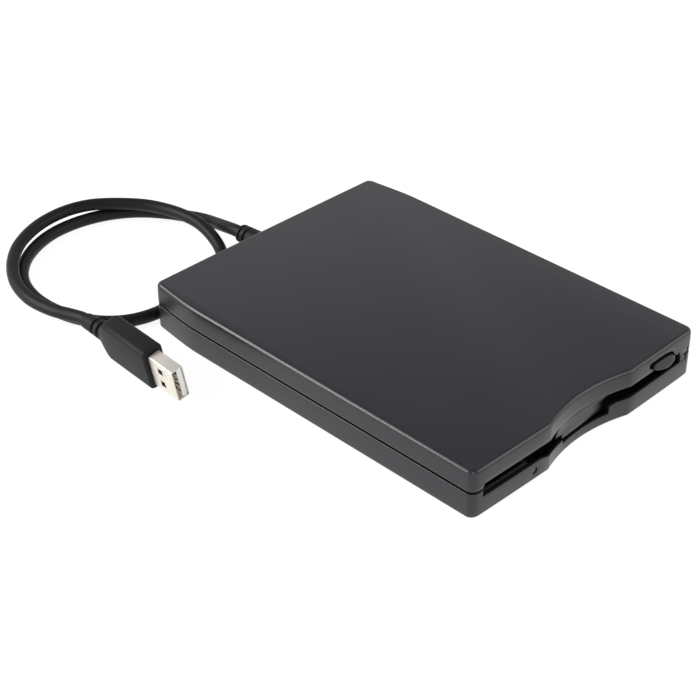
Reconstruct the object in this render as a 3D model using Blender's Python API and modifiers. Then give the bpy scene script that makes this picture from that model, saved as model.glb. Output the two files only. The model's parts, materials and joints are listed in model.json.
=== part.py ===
"""External slim 3.5-inch floppy disk drive with its lead and plug.

Metres. +X is right seen from the slot side, -Y is the slot side, +Z is up.
The drive stands on four rubber feet at Z = 0. The lead lies in two stacked
loops behind and beside it, and the plug stands on its narrow edge.
"""
from math import atan2, cos, pi, radians, sin

import bmesh
import bpy
from mathutils import Matrix, Vector

# Clearances and overruns shared by all pieces
GAP = 0.0003
RUNNING = 0.0003
OVERRUN = 0.004
SMALL_OVERRUN = 0.001
MERGE = 0.000001

# Case
CASE_WIDTH = 0.104
CASE_DEPTH = 0.142
CASE_HEIGHT = 0.017

# Places that follow the case's width, as shares of its 104 mm from the middle
WIDTH_SHARES = {
    "notch_centre": 0.2 / 104, "slot_left": -47.7 / 104, "slot_right": 45 / 104,
    "slot_dip_left": -9.8 / 104, "slot_dip_right": 11.9 / 104, "disk_centre_x": -1.5 / 104,
    "door_right": 29 / 104, "bulge_left": -9.5 / 104, "bulge_right": 9.5 / 104,
    "button_left": 30.2 / 104, "button_right": 41 / 104, "cutout_left": 28.5 / 104,
    "cutout_right": 43 / 104, "carriage_low_x": -11 / 104, "carriage_high_x": 8 / 104,
    "rod_x": -15 / 104, "stepper_x": 14 / 104, "lever_pivot_x": -42 / 104, "usb_board_left": -34 / 104,
    "bridge_chip_x": -16 / 104, "crystal_x": -27 / 104, "connector_x": -4 / 104, "flex_x": -31.5 / 104,
    "protect_switch_x": -36 / 104, "disk_switch_x": 33 / 104, "pipe_x": -24.5 / 104,
    "chassis_screw_side_x": 39.5 / 104,
}
# Places that follow its depth, as shares of its 142 mm from the middle
DEPTH_SHARES = {
    "slider_back_y": 43.6 / 142, "holder_front_y": -56 / 142, "holder_rear_y": 37.4 / 142,
    "holder_window_front_y": 8 / 142, "pin_front_y": -40 / 142, "pin_rear_y": 25 / 142,
    "chassis_front_y": -58 / 142, "chassis_rear_y": 58.5 / 142, "chassis_window_rear_y": 57.5 / 142,
    "shield_front_y": -50 / 142, "spindle_y": -9 / 142, "spindle_board_front_y": -32 / 142,
    "head_y": 30.3 / 142, "carriage_front_y": 28.2 / 142, "carriage_rear_y": 57.9 / 142,
    "screw_front_y": 38.1 / 142, "bracket_front_y": 37.9 / 142, "bracket_rear_y": 57 / 142,
    "lever_pivot_y": 40.5 / 142, "main_board_front_y": -40 / 142, "controller_y": -20 / 142,
    "driver_y": 2 / 142, "flex_front_y": 14 / 142, "flex_rear_y": 60 / 142, "switch_y": -53 / 142,
    "chassis_screw_front_y": -44 / 142, "chassis_screw_rear_y": 35 / 142,
}
# Heights that follow its height, as shares of its 17 mm from the underside
HEIGHT_SHARES = {
    "parting_low": 8.9 / 17, "parting_high": 9.6 / 17, "lip_height": 11 / 17, "slot_low": 6.6 / 17,
    "slot_high": 11.2 / 17, "slot_dip_low": 3.8 / 17, "door_axis_height": 13.4 / 17,
    "door_low": 5.5 / 17, "bulge_low": 5.1 / 17, "button_low": 10.2 / 17, "button_high": 14.1 / 17,
    "cutout_high": 14.6 / 17, "stem_low": 11.3 / 17, "stem_high": 13.4 / 17, "slider_low": 4.6 / 17,
    "spring_height": 7.2 / 17, "holder_floor_low": 6.1 / 17, "pin_height": 8.7 / 17,
    "chassis_top": 13.9 / 17, "chassis_window_high": 11 / 17, "spring_post_high": 9.8 / 17,
    "carriage_tower_top": 11.3 / 17, "arm_axis_height": 12.3 / 17, "stepper_height": 8.3 / 17,
    "bracket_high": 10.9 / 17, "follower_low": 6 / 17, "follower_high": 10.5 / 17,
    "lever_height": 11.7 / 17, "lever_tip_low": 8 / 17, "post_top": 13 / 17, "boss_top": 8.8 / 17,
    "relief_height": 9.3 / 17,
}

# Case walls
CORNER_RADIUS = 0.0028
TOP_FILLET = 0.0015
BOTTOM_FILLET = 0.001
FRONT_BOW = 0.0006
REAR_BOW = 0.0002
TAPER_LENGTH = 0.0225
TAPER_INSET = 0.0018
WALL = 0.0016
TOP_THICKNESS = 0.0016
FLOOR_THICKNESS = 0.0016
PARTING_LOW = CASE_HEIGHT * HEIGHT_SHARES["parting_low"]
PARTING_HIGH = CASE_HEIGHT * HEIGHT_SHARES["parting_high"]
LIP_INSET = 0.00185
LIP_THICKNESS = 0.0008
LIP_HEIGHT = CASE_HEIGHT * HEIGHT_SHARES["lip_height"]
CORNER_STEPS = 6
FRONT_STEPS = 8
NOTCH_STEPS = 26

# Finger notch in the front of both covers
NOTCH_CENTRE = CASE_WIDTH * WIDTH_SHARES["notch_centre"]
NOTCH_WIDTH = 0.0382
NOTCH_DEPTH = 0.0033

# Disk slot
SLOT_LEFT = CASE_WIDTH * WIDTH_SHARES["slot_left"]
SLOT_RIGHT = CASE_WIDTH * WIDTH_SHARES["slot_right"]
SLOT_LOW = CASE_HEIGHT * HEIGHT_SHARES["slot_low"]
SLOT_HIGH = CASE_HEIGHT * HEIGHT_SHARES["slot_high"]
SLOT_DIP_LEFT = CASE_WIDTH * WIDTH_SHARES["slot_dip_left"]
SLOT_DIP_RIGHT = CASE_WIDTH * WIDTH_SHARES["slot_dip_right"]
SLOT_DIP_LOW = CASE_HEIGHT * HEIGHT_SHARES["slot_dip_low"]

# Disk and its path
DISK_SIDE_ROOM = 0.014
DISK_CENTRE_X = CASE_WIDTH * WIDTH_SHARES["disk_centre_x"]
SIDE_PLAY = 0.0003

# Dust door
DOOR_AXIS_SETBACK = 0.0068
DOOR_AXIS_HEIGHT = CASE_HEIGHT * HEIGHT_SHARES["door_axis_height"]
DOOR_THICKNESS = 0.0008
DOOR_SIDE_ROOM = 0.00315
DOOR_RIGHT = CASE_WIDTH * WIDTH_SHARES["door_right"]
DOOR_LOW = CASE_HEIGHT * HEIGHT_SHARES["door_low"]
DOOR_TOP_MARGIN = 0.0005
BULGE_LEFT = CASE_WIDTH * WIDTH_SHARES["bulge_left"]
BULGE_RIGHT = CASE_WIDTH * WIDTH_SHARES["bulge_right"]
BULGE_LOW = CASE_HEIGHT * HEIGHT_SHARES["bulge_low"]
BULGE_SETBACK = 0.0040
PIVOT_PIN_RADIUS = 0.0007
PIVOT_PIN_LENGTH = 0.0014
PIVOT_BLOCK_DEPTH = 0.0026
PIVOT_BLOCK_WIDTH = 0.0022
PIVOT_BLOCK_BELOW = 0.0013

# Eject button and slider
BUTTON_LEFT = CASE_WIDTH * WIDTH_SHARES["button_left"]
BUTTON_RIGHT = CASE_WIDTH * WIDTH_SHARES["button_right"]
BUTTON_LOW = CASE_HEIGHT * HEIGHT_SHARES["button_low"]
BUTTON_HIGH = CASE_HEIGHT * HEIGHT_SHARES["button_high"]
BUTTON_PROUD = 0.0014
BUTTON_HEAD_DEPTH = 0.0033
BUTTON_EDGE = 0.0004
BUTTON_OUTLINE_SHARES = [
    (0.00, 0.56), (0.17, 0.31), (0.42, 0.08), (0.66, 0.00), (0.87, 0.13), (0.99, 0.36),
    (1.00, 0.60), (0.92, 0.80), (0.76, 0.95), (0.46, 1.00), (0.21, 1.00), (0.02, 0.90),
]
CUTOUT_LEFT = CASE_WIDTH * WIDTH_SHARES["cutout_left"]
CUTOUT_RIGHT = CASE_WIDTH * WIDTH_SHARES["cutout_right"]
CUTOUT_HIGH = CASE_HEIGHT * HEIGHT_SHARES["cutout_high"]
CUTOUT_SLANT = 0.0029
STEM_SIDE_STEP = 0.0023
STEM_LOW = CASE_HEIGHT * HEIGHT_SHARES["stem_low"]
STEM_HIGH = CASE_HEIGHT * HEIGHT_SHARES["stem_high"]
SLIDER_THICKNESS = 0.0010
SLIDER_LOW = CASE_HEIGHT * HEIGHT_SHARES["slider_low"]
SLIDER_BACK_Y = CASE_DEPTH * DEPTH_SHARES["slider_back_y"]
SLIDER_ARM_DEPTH = 0.0018
SLIDER_TOE_LENGTH = 0.0130
EJECT_TRAVEL = 0.0045
SPRING_RADIUS = 0.0020
SPRING_WIRE_RADIUS = 0.0003
SPRING_LENGTH = 0.0095
SPRING_CURLS = 9
SPRING_POINTS_PER_CURL = 8
SPRING_HEIGHT = CASE_HEIGHT * HEIGHT_SHARES["spring_height"]
SPRING_SIDE_ROOM = 0.0060

# Disk holder
HOLDER_SHEET = 0.0005
HOLDER_SIDE_SHEET = 0.0004
HOLDER_FRONT_Y = CASE_DEPTH * DEPTH_SHARES["holder_front_y"]
HOLDER_REAR_Y = CASE_DEPTH * DEPTH_SHARES["holder_rear_y"]
HOLDER_FLOOR_LOW = CASE_HEIGHT * HEIGHT_SHARES["holder_floor_low"]
HOLDER_CHAMBER_HEIGHT = 0.0042
HOLDER_LIP_WIDTH = 0.0050
HOLDER_DROP = 0.0015
HOLDER_WINDOW_WIDTH = 0.0250
HOLDER_WINDOW_FRONT_Y = CASE_DEPTH * DEPTH_SHARES["holder_window_front_y"]
PIN_RADIUS = 0.0010
PIN_FRONT_Y = CASE_DEPTH * DEPTH_SHARES["pin_front_y"]
PIN_REAR_Y = CASE_DEPTH * DEPTH_SHARES["pin_rear_y"]
PIN_HEIGHT = CASE_HEIGHT * HEIGHT_SHARES["pin_height"]

# Chassis
CHASSIS_SHEET = 0.0008
CHASSIS_WALL = 0.0007
CHASSIS_TOP = CASE_HEIGHT * HEIGHT_SHARES["chassis_top"]
CHASSIS_FRONT_Y = CASE_DEPTH * DEPTH_SHARES["chassis_front_y"]
CHASSIS_REAR_Y = CASE_DEPTH * DEPTH_SHARES["chassis_rear_y"]
CHASSIS_WINDOW_REAR_Y = CASE_DEPTH * DEPTH_SHARES["chassis_window_rear_y"]
CHASSIS_WINDOW_HIGH = CASE_HEIGHT * HEIGHT_SHARES["chassis_window_high"]
SHIELD_SHEET = 0.0004
SHIELD_FRONT_Y = CASE_DEPTH * DEPTH_SHARES["shield_front_y"]
SPRING_POST_WIDTH = 0.0040
SPRING_POST_THICKNESS = 0.0010
SPRING_POST_HIGH = CASE_HEIGHT * HEIGHT_SHARES["spring_post_high"]

# Spindle
SPINDLE_Y = CASE_DEPTH * DEPTH_SHARES["spindle_y"]
SPINDLE_BOARD_WIDTH = 0.0450
SPINDLE_BOARD_LENGTH = 0.0430
SPINDLE_BOARD_FRONT_Y = CASE_DEPTH * DEPTH_SHARES["spindle_board_front_y"]
BOARD_THICKNESS = 0.0007
ROTOR_RADIUS = 0.0210
ROTOR_HEIGHT = 0.0012
ROTOR_EDGE = 0.0004
HUB_RADIUS = 0.0110
HUB_HEIGHT = 0.0003
SHAFT_RADIUS = 0.0020
SHAFT_HEIGHT = 0.0010
DRIVE_PIN_RADIUS = 0.0011
DRIVE_PIN_ORBIT = 0.0080
DRIVE_PIN_HEIGHT = 0.0006

# Head carriage and arm
HEAD_Y = CASE_DEPTH * DEPTH_SHARES["head_y"]
HEAD_SIZE = 0.0040
CARRIAGE_LOW_X = CASE_WIDTH * WIDTH_SHARES["carriage_low_x"]
CARRIAGE_HIGH_X = CASE_WIDTH * WIDTH_SHARES["carriage_high_x"]
CARRIAGE_FRONT_Y = CASE_DEPTH * DEPTH_SHARES["carriage_front_y"]
CARRIAGE_REAR_Y = CASE_DEPTH * DEPTH_SHARES["carriage_rear_y"]
CARRIAGE_THICKNESS = 0.0020
CARRIAGE_TOWER_DEPTH = 0.0040
CARRIAGE_TOWER_TOP = CASE_HEIGHT * HEIGHT_SHARES["carriage_tower_top"]
CARRIAGE_TRAVEL = 0.0150
BUSHING_DEPTH = 0.0029
BUSHING_SETBACK = 0.0020
BUSHING_MARGIN = 0.0032
BUSHING_TOP = 0.0062
LOWER_HEAD_HEIGHT = 0.0012
UPPER_HEAD_HEIGHT = 0.0006
ARM_WIDTH = 0.0080
ARM_THICKNESS = 0.0010
ARM_AXIS_HEIGHT = CASE_HEIGHT * HEIGHT_SHARES["arm_axis_height"]
ARM_AXIS_BACK = 0.0024
ARM_TAIL = 0.0010
ROD_X = CASE_WIDTH * WIDTH_SHARES["rod_x"]
ROD_RADIUS = 0.0010
ROD_HEIGHT = 0.0042
ROD_FRONT_ROOM = 0.0023
ROD_REAR_SETBACK = 0.0002
CLIP_WIDTH = 0.0040
CLIP_DEPTH = 0.0018
CLIP_TOP = 0.0053
CLIP_END_WALL = 0.0003

# Stepper motor and lead screw
STEPPER_X = CASE_WIDTH * WIDTH_SHARES["stepper_x"]
STEPPER_HEIGHT = CASE_HEIGHT * HEIGHT_SHARES["stepper_height"]
STEPPER_FLOOR_ROOM = 0.0006
STEPPER_REAR_ROOM = 0.00105
STEPPER_EDGE = 0.0006
SCREW_RADIUS = 0.0012
SCREW_FRONT_Y = CASE_DEPTH * DEPTH_SHARES["screw_front_y"]
SCREW_ROOT_RADIUS = 0.0009
SCREW_THREAD_PITCH = 0.0015
THREAD_FLANK_SHARE = 0.25
THREAD_CREST_SHARE = 0.6
BRACKET_SHEET = 0.0007
BRACKET_WIDTH = 0.0090
BRACKET_HIGH = CASE_HEIGHT * HEIGHT_SHARES["bracket_high"]
BRACKET_FRONT_Y = CASE_DEPTH * DEPTH_SHARES["bracket_front_y"]
BRACKET_REAR_Y = CASE_DEPTH * DEPTH_SHARES["bracket_rear_y"]
FOLLOWER_DEPTH = 0.0021
FOLLOWER_LOW = CASE_HEIGHT * HEIGHT_SHARES["follower_low"]
FOLLOWER_HIGH = CASE_HEIGHT * HEIGHT_SHARES["follower_high"]
FOLLOWER_MARGIN = 0.0025
SCREW_PLAY = 0.0004

# Shutter lever
LEVER_PIVOT_X = CASE_WIDTH * WIDTH_SHARES["lever_pivot_x"]
LEVER_PIVOT_Y = CASE_DEPTH * DEPTH_SHARES["lever_pivot_y"]
LEVER_LENGTH = 0.0200
LEVER_WIDTH = 0.0044
LEVER_THICKNESS = 0.0008
LEVER_HEIGHT = CASE_HEIGHT * HEIGHT_SHARES["lever_height"]
LEVER_TIP_RADIUS = 0.0009
LEVER_TIP_LOW = CASE_HEIGHT * HEIGHT_SHARES["lever_tip_low"]
LEVER_TIP_SHARE = 0.7
POST_RADIUS = 0.0012
POST_TOP = CASE_HEIGHT * HEIGHT_SHARES["post_top"]

# Boards and what stands on them
BOARD_SIDE_ROOM = 0.0010
BOARD_GAP = 0.0025
MAIN_BOARD_FRONT_Y = CASE_DEPTH * DEPTH_SHARES["main_board_front_y"]
BOARD_SCREW_ROOM = 0.0050
CHIP_SIZE = 0.0100
CHIP_HEIGHT = 0.0009
CONTROLLER_Y = CASE_DEPTH * DEPTH_SHARES["controller_y"]
DRIVER_Y = CASE_DEPTH * DEPTH_SHARES["driver_y"]
DRIVER_SIZE = 0.0060
USB_BOARD_LEFT = CASE_WIDTH * WIDTH_SHARES["usb_board_left"]
USB_BOARD_SIDE_GAP = 0.0030
USB_BOARD_SETBACK = 0.0100
USB_BOARD_LENGTH = 0.0066
USB_BOARD_THICKNESS = 0.0012
BRIDGE_CHIP_SIZE = 0.0050
BRIDGE_CHIP_X = CASE_WIDTH * WIDTH_SHARES["bridge_chip_x"]
CRYSTAL_LENGTH = 0.0080
CRYSTAL_WIDTH = 0.0035
CRYSTAL_HEIGHT = 0.0020
CRYSTAL_X = CASE_WIDTH * WIDTH_SHARES["crystal_x"]
CONNECTOR_X = CASE_WIDTH * WIDTH_SHARES["connector_x"]
CONNECTOR_LENGTH = 0.0090
CONNECTOR_DEPTH = 0.0030
CONNECTOR_TOP_ROOM = 0.0014
FLEX_X = CASE_WIDTH * WIDTH_SHARES["flex_x"]
FLEX_WIDTH = 0.0080
FLEX_THICKNESS = 0.0003
FLEX_FRONT_Y = CASE_DEPTH * DEPTH_SHARES["flex_front_y"]
FLEX_REAR_Y = CASE_DEPTH * DEPTH_SHARES["flex_rear_y"]
SWITCH_WIDTH = 0.0050
SWITCH_DEPTH = 0.0040
SWITCH_HEIGHT = 0.0020
SWITCH_PLUNGER = 0.0006
SWITCH_PLUNGER_RADIUS = 0.0006
PROTECT_SWITCH_X = CASE_WIDTH * WIDTH_SHARES["protect_switch_x"]
DISK_SWITCH_X = CASE_WIDTH * WIDTH_SHARES["disk_switch_x"]
SWITCH_Y = CASE_DEPTH * DEPTH_SHARES["switch_y"]

# Light pipe
PIPE_X = CASE_WIDTH * WIDTH_SHARES["pipe_x"]
PIPE_HEIGHT = 0.0028
PIPE_RADIUS = 0.0009
PIPE_SETBACK = 0.0001

# Feet, bosses and screws
FOOT_PROUD = 0.0003
FOOT_THICKNESS = 0.0009
FOOT_RADIUS = 0.0040
FOOT_EDGE = 0.0003
FOOT_INSET_X = 0.0100
FOOT_INSET_Y = 0.0130
FOOT_BACK_STEP = 0.0080
BOSS_INSET_X = 0.0090
BOSS_INSET_Y = 0.0070
BOSS_RADIUS = 0.0028
BOSS_TOP = CASE_HEIGHT * HEIGHT_SHARES["boss_top"]
BOSS_SPLIT = 0.0004
CASE_SCREW_RADIUS = 0.0011
CASE_SCREW_HEAD_RADIUS = 0.0021
CASE_SCREW_HEAD_HEIGHT = 0.0016
CASE_SCREW_RECESS = 0.0004
CASE_SCREW_TIP_ROOM = 0.0024
SCREW_HOLE_MARGIN = 0.0004
CHASSIS_SCREW_RADIUS = 0.0012
CHASSIS_SCREW_HEAD_RADIUS = 0.0022
CHASSIS_SCREW_HEAD_HEIGHT = 0.0010
CHASSIS_SCREW_BITE = 0.0008
CHASSIS_SCREW_SIDE_X = CASE_WIDTH * WIDTH_SHARES["chassis_screw_side_x"]
CHASSIS_SCREW_FRONT_Y = CASE_DEPTH * DEPTH_SHARES["chassis_screw_front_y"]
CHASSIS_SCREW_REAR_Y = CASE_DEPTH * DEPTH_SHARES["chassis_screw_rear_y"]
DRIVE_SLOT_WIDTH = 0.0006
DRIVE_SLOT_DEPTH = 0.0004
SLOT_REACH_SHARE = 0.8

# Rear strain relief
RELIEF_HEIGHT = CASE_HEIGHT * HEIGHT_SHARES["relief_height"]
RELIEF_TAPER = 0.0010
RELIEF_LENGTH = 0.0130
RELIEF_TOP_ROOM = 0.0006
RELIEF_FLANGE_STEP = 0.00125
RELIEF_FLANGE_THICKNESS = 0.0012
RELIEF_GROOVE_WIDTH = 0.0008
RELIEF_GROOVE_DEPTH = 0.0006
RELIEF_GROOVE_PITCH = 0.0026
GROOVE_FLANK_SHARE = 0.25
RELIEF_TIP_LAND = 0.0010
BUNDLE_RADIUS = 0.0011

# Lead
CORD_RADIUS = 0.0022
CORD_SPACING = 0.0052
LEAD_DRAWN_REAR_Y = 0.0710
LEAD_DRAWN_EXIT = 0.0096
LEAD_FALLING_POINTS = 4
CORD_ROUTE = [
    (0.0001, 0.0885, 0.0092), (0.0016, 0.0960, 0.0071), (0.0036, 0.1040, 0.0045),
    (0.0040, 0.1110, 0.0029), (0.0022, 0.1170, 0.00225), (-0.0016, 0.1240, 0.00225),
    (-0.0074, 0.1314, 0.00225), (-0.0145, 0.1369, 0.00225), (-0.0225, 0.1404, 0.00225),
    (-0.0316, 0.1420, 0.00225), (-0.0410, 0.1414, 0.00225), (-0.0505, 0.1380, 0.00225),
    (-0.0590, 0.1322, 0.00225), (-0.0656, 0.1242, 0.00225), (-0.0694, 0.1144, 0.00225),
    (-0.0703, 0.1032, 0.00225), (-0.0682, 0.0922, 0.00225), (-0.0636, 0.0834, 0.00225),
    (-0.0566, 0.0774, 0.00225), (-0.0480, 0.0746, 0.00225), (-0.0380, 0.0748, 0.00225),
    (-0.0275, 0.0768, 0.00225), (-0.0175, 0.0798, 0.00225), (-0.0102, 0.0836, 0.0024),
    (-0.0060, 0.0890, 0.0034), (-0.0040, 0.0956, 0.0053), (-0.0032, 0.1028, 0.0068),
    (-0.0034, 0.1100, 0.0072), (-0.0048, 0.1184, 0.0071), (-0.0082, 0.1268, 0.0071),
    (-0.0142, 0.1348, 0.0070), (-0.0216, 0.1418, 0.0067), (-0.0298, 0.1453, 0.0063),
    (-0.0392, 0.1454, 0.0061), (-0.0490, 0.1422, 0.0063), (-0.0586, 0.1362, 0.0066),
    (-0.0668, 0.1276, 0.0069), (-0.0730, 0.1170, 0.0070), (-0.0758, 0.1056, 0.0070),
    (-0.0750, 0.0948, 0.0072), (-0.0727, 0.0870, 0.0076), (-0.0716, 0.0828, 0.0079),
]
CORD_END = (-0.0714, 0.0800, 0.0080)

# Plug
PLUG_MOUTH = (-0.07334, 0.03063, 0.00836)
PLUG_YAW = radians(-2.5)
PLUG_PITCH = radians(1.0)
PLUG_ROLL = radians(11.0)
PLUG_SHELL_WIDTH = 0.0120
PLUG_SHELL_THICKNESS = 0.0045
PLUG_SHELL_SHEET = 0.0003
PLUG_SHELL_LENGTH = 0.0117
PLUG_HOLE_SIZE = 0.0024
PLUG_HOLE_FROM_MOUTH = 0.0066
PLUG_HOLE_SPREAD = 0.0052
PLUG_TONGUE_WIDTH = 0.0111
PLUG_TONGUE_THICKNESS = 0.0017
PLUG_TONGUE_SETBACK = 0.0006
PLUG_CONTACT_THICKNESS = 0.0002
PLUG_CONTACT_WIDTH = 0.0010
PLUG_CONTACT_LENGTH = 0.0070
PLUG_CONTACT_OUTER_PLACE = 0.0035
PLUG_CONTACT_INNER_PLACE = 0.0010
PLUG_CONTACT_SETBACK = 0.0012
PLUG_BODY_WIDTH = 0.0153
PLUG_BODY_THICKNESS = 0.0076
PLUG_BODY_LENGTH = 0.0228
PLUG_BODY_CORNER = 0.0016
PLUG_BODY_RIM = 0.0006
PLUG_SHOULDER_LENGTH = 0.0035
PLUG_NECK_RADIUS = 0.0033
PLUG_NECK_DROP = 0.0007
PLUG_RELIEF_TIP_RADIUS = 0.0026
PLUG_RELIEF_GROOVE_WIDTH = 0.0012
PLUG_RELIEF_GROOVE_DEPTH = 0.0007
PLUG_RELIEF_GROOVE_PITCH = 0.0030
PLUG_RELIEF_ROOT_LAND = 0.0011

# Sides of round pieces
ROUND_STEPS = 32
SMALL_ROUND_STEPS = 16
FILLET_STEPS = 3
SECTION_STEPS = 5
SHOULDER_STEPS = 6
CURVE_STEPS = 12

# Places that follow from the sizes above
FRONT_Y = -CASE_DEPTH / 2
REAR_Y = CASE_DEPTH / 2
CAVITY_INSET = LIP_INSET + LIP_THICKNESS
DISK_WIDTH = CASE_WIDTH - DISK_SIDE_ROOM
DOOR_AXIS_Y = FRONT_Y + DOOR_AXIS_SETBACK
DOOR_LEFT = CAVITY_INSET + DOOR_SIDE_ROOM - CASE_WIDTH / 2
BULGE_FACE_Y = FRONT_Y + BULGE_SETBACK
BUTTON_FACE_Y = FRONT_Y - BUTTON_PROUD
SLIDER_FRONT_Y = FRONT_Y + FRONT_BOW + CAVITY_INSET + RUNNING + EJECT_TRAVEL
STEM_BACK_Y = SLIDER_FRONT_Y - GAP
STEM_WIDTH = BUTTON_RIGHT - BUTTON_LEFT - 2 * STEM_SIDE_STEP
HOLDER_INNER_LEFT = DISK_CENTRE_X - DISK_WIDTH / 2 - SIDE_PLAY
HOLDER_INNER_RIGHT = DISK_CENTRE_X + DISK_WIDTH / 2 + SIDE_PLAY
HOLDER_LEFT = HOLDER_INNER_LEFT - HOLDER_SIDE_SHEET
HOLDER_RIGHT = HOLDER_INNER_RIGHT + HOLDER_SIDE_SHEET
HOLDER_FLOOR_TOP = HOLDER_FLOOR_LOW + HOLDER_SHEET
HOLDER_ROOF_LOW = HOLDER_FLOOR_TOP + HOLDER_CHAMBER_HEIGHT
HOLDER_TOP = HOLDER_ROOF_LOW + HOLDER_SHEET
CHASSIS_INNER_LEFT = HOLDER_LEFT - RUNNING
CHASSIS_INNER_RIGHT = HOLDER_RIGHT + RUNNING
CHASSIS_LEFT = CHASSIS_INNER_LEFT - CHASSIS_WALL
CHASSIS_RIGHT = CHASSIS_INNER_RIGHT + CHASSIS_WALL
CHASSIS_WINDOW_FRONT_Y = SLIDER_BACK_Y - SLIDER_THICKNESS - EJECT_TRAVEL - RUNNING
SPRING_X = CHASSIS_INNER_RIGHT - SPRING_SIDE_ROOM
MAIN_BOARD_LEFT = CHASSIS_INNER_LEFT + BOARD_SIDE_ROOM
MAIN_BOARD_RIGHT = DISK_CENTRE_X - SPINDLE_BOARD_WIDTH / 2 - BOARD_GAP
MAIN_BOARD_REAR_Y = CHASSIS_SCREW_REAR_Y - BOARD_SCREW_ROOM
CHASSIS_FLOOR_LOW = FLOOR_THICKNESS + GAP
CHASSIS_FLOOR_TOP = CHASSIS_FLOOR_LOW + CHASSIS_SHEET
DECK = CHASSIS_FLOOR_TOP + GAP
SLIDER_LEFT = CHASSIS_RIGHT + RUNNING
SLIDER_RIGHT = SLIDER_LEFT + SLIDER_THICKNESS
ROTOR_LOW = DECK + BOARD_THICKNESS + RUNNING
COVER_UNDERSIDE = CASE_HEIGHT - TOP_THICKNESS
CARRIAGE_TOP = DECK + CARRIAGE_THICKNESS
ARM_AXIS_Y = CARRIAGE_REAR_Y - ARM_AXIS_BACK
SCREW_LENGTH = BRACKET_REAR_Y - SCREW_FRONT_Y
BUSHING_REAR_Y = CARRIAGE_REAR_Y - BUSHING_SETBACK
BUSHING_FRONT_Y = BUSHING_REAR_Y - BUSHING_DEPTH
ROD_FRONT_Y = BUSHING_FRONT_Y - CARRIAGE_TRAVEL - ROD_FRONT_ROOM
ROD_REAR_Y = CARRIAGE_REAR_Y - ROD_REAR_SETBACK
STEPPER_RADIUS = STEPPER_HEIGHT - CHASSIS_FLOOR_TOP - STEPPER_FLOOR_ROOM
STEPPER_LENGTH = REAR_Y - CAVITY_INSET - STEPPER_REAR_ROOM - BRACKET_REAR_Y - GAP
USB_BOARD_FRONT_Y = REAR_Y - USB_BOARD_SETBACK
USB_BOARD_RIGHT = STEPPER_X - STEPPER_RADIUS - USB_BOARD_SIDE_GAP
USB_BOARD_LOW = FLOOR_THICKNESS + GAP
USB_BOARD_TOP = USB_BOARD_LOW + USB_BOARD_THICKNESS
CONNECTOR_HEIGHT = RELIEF_HEIGHT - BUNDLE_RADIUS - CONNECTOR_TOP_ROOM - USB_BOARD_TOP - GAP
RELIEF_FLANGE_RADIUS = COVER_UNDERSIDE - RELIEF_HEIGHT - RELIEF_TOP_ROOM
RELIEF_RADIUS = RELIEF_FLANGE_RADIUS - RELIEF_FLANGE_STEP
RELIEF_TIP_RADIUS = RELIEF_RADIUS - RELIEF_TAPER
BOSS_X = CASE_WIDTH / 2 - BOSS_INSET_X
BOSS_Y = REAR_Y - BOSS_INSET_Y
CASE_SCREW_LENGTH = (
    COVER_UNDERSIDE - CASE_SCREW_RECESS - CASE_SCREW_HEAD_HEIGHT - CASE_SCREW_TIP_ROOM
)
LEAD_SHIFT_Y = REAR_Y - LEAD_DRAWN_REAR_Y

parts = None
cutters = None


def lift(height):
    """World Z of a height above the case's underside."""
    return height + FOOT_PROUD


def clear_scene():
    for item in list(bpy.data.objects):
        bpy.data.objects.remove(item, do_unlink=True)


def new_collection(name):
    group = bpy.data.collections.new(name)
    bpy.context.scene.collection.children.link(group)
    return group


def surface(name, colour, roughness, metallic=0.0):
    """A Principled material."""
    finish = bpy.data.materials.new(name)
    finish.use_nodes = True
    shader = finish.node_tree.nodes["Principled BSDF"]
    shader.inputs["Base Color"].default_value = (*colour, 1.0)
    shader.inputs["Roughness"].default_value = roughness
    shader.inputs["Metallic"].default_value = metallic
    finish.diffuse_color = (*colour, 1.0)
    return finish


def smooth(mesh, angle=radians(35.0)):
    mesh.shade_smooth()
    mesh.set_sharp_from_angle(angle=angle)


def place(name, mesh, finish=None, origin=(0.0, 0.0, 0.0), cutter=False):
    """Put a mesh, modelled in world coordinates, into the scene with its origin at a point."""
    origin = Vector(origin)
    mesh.transform(Matrix.Translation(-origin))
    item = bpy.data.objects.new(name, mesh)
    item.location = origin
    if cutter:
        item.hide_render = True
        item.display_type = "WIRE"
        cutters.objects.link(item)
    else:
        parts.objects.link(item)
        mesh.materials.append(finish)
    bpy.context.view_layer.update()
    return item


def box(name, low, high, finish=None, origin=(0.0, 0.0, 0.0), cutter=False):
    """A block between two corners whose heights are measured from the case's underside."""
    low = Vector((low[0], low[1], lift(low[2])))
    high = Vector((high[0], high[1], lift(high[2])))
    form = bmesh.new()
    bmesh.ops.create_cube(form, size=1.0)
    size = high - low
    middle = (low + high) / 2
    for corner in form.verts:
        corner.co = Vector(a * b + c for a, b, c in zip(corner.co, size, middle))
    mesh = bpy.data.meshes.new(name)
    form.to_mesh(mesh)
    form.free()
    return place(name, mesh, finish, origin, cutter)


AXIS_TURNS = {
    "X": Matrix.Rotation(pi / 2, 4, "Y"),
    "Y": Matrix.Rotation(-pi / 2, 4, "X"),
    "Z": Matrix.Identity(4),
}


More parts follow.
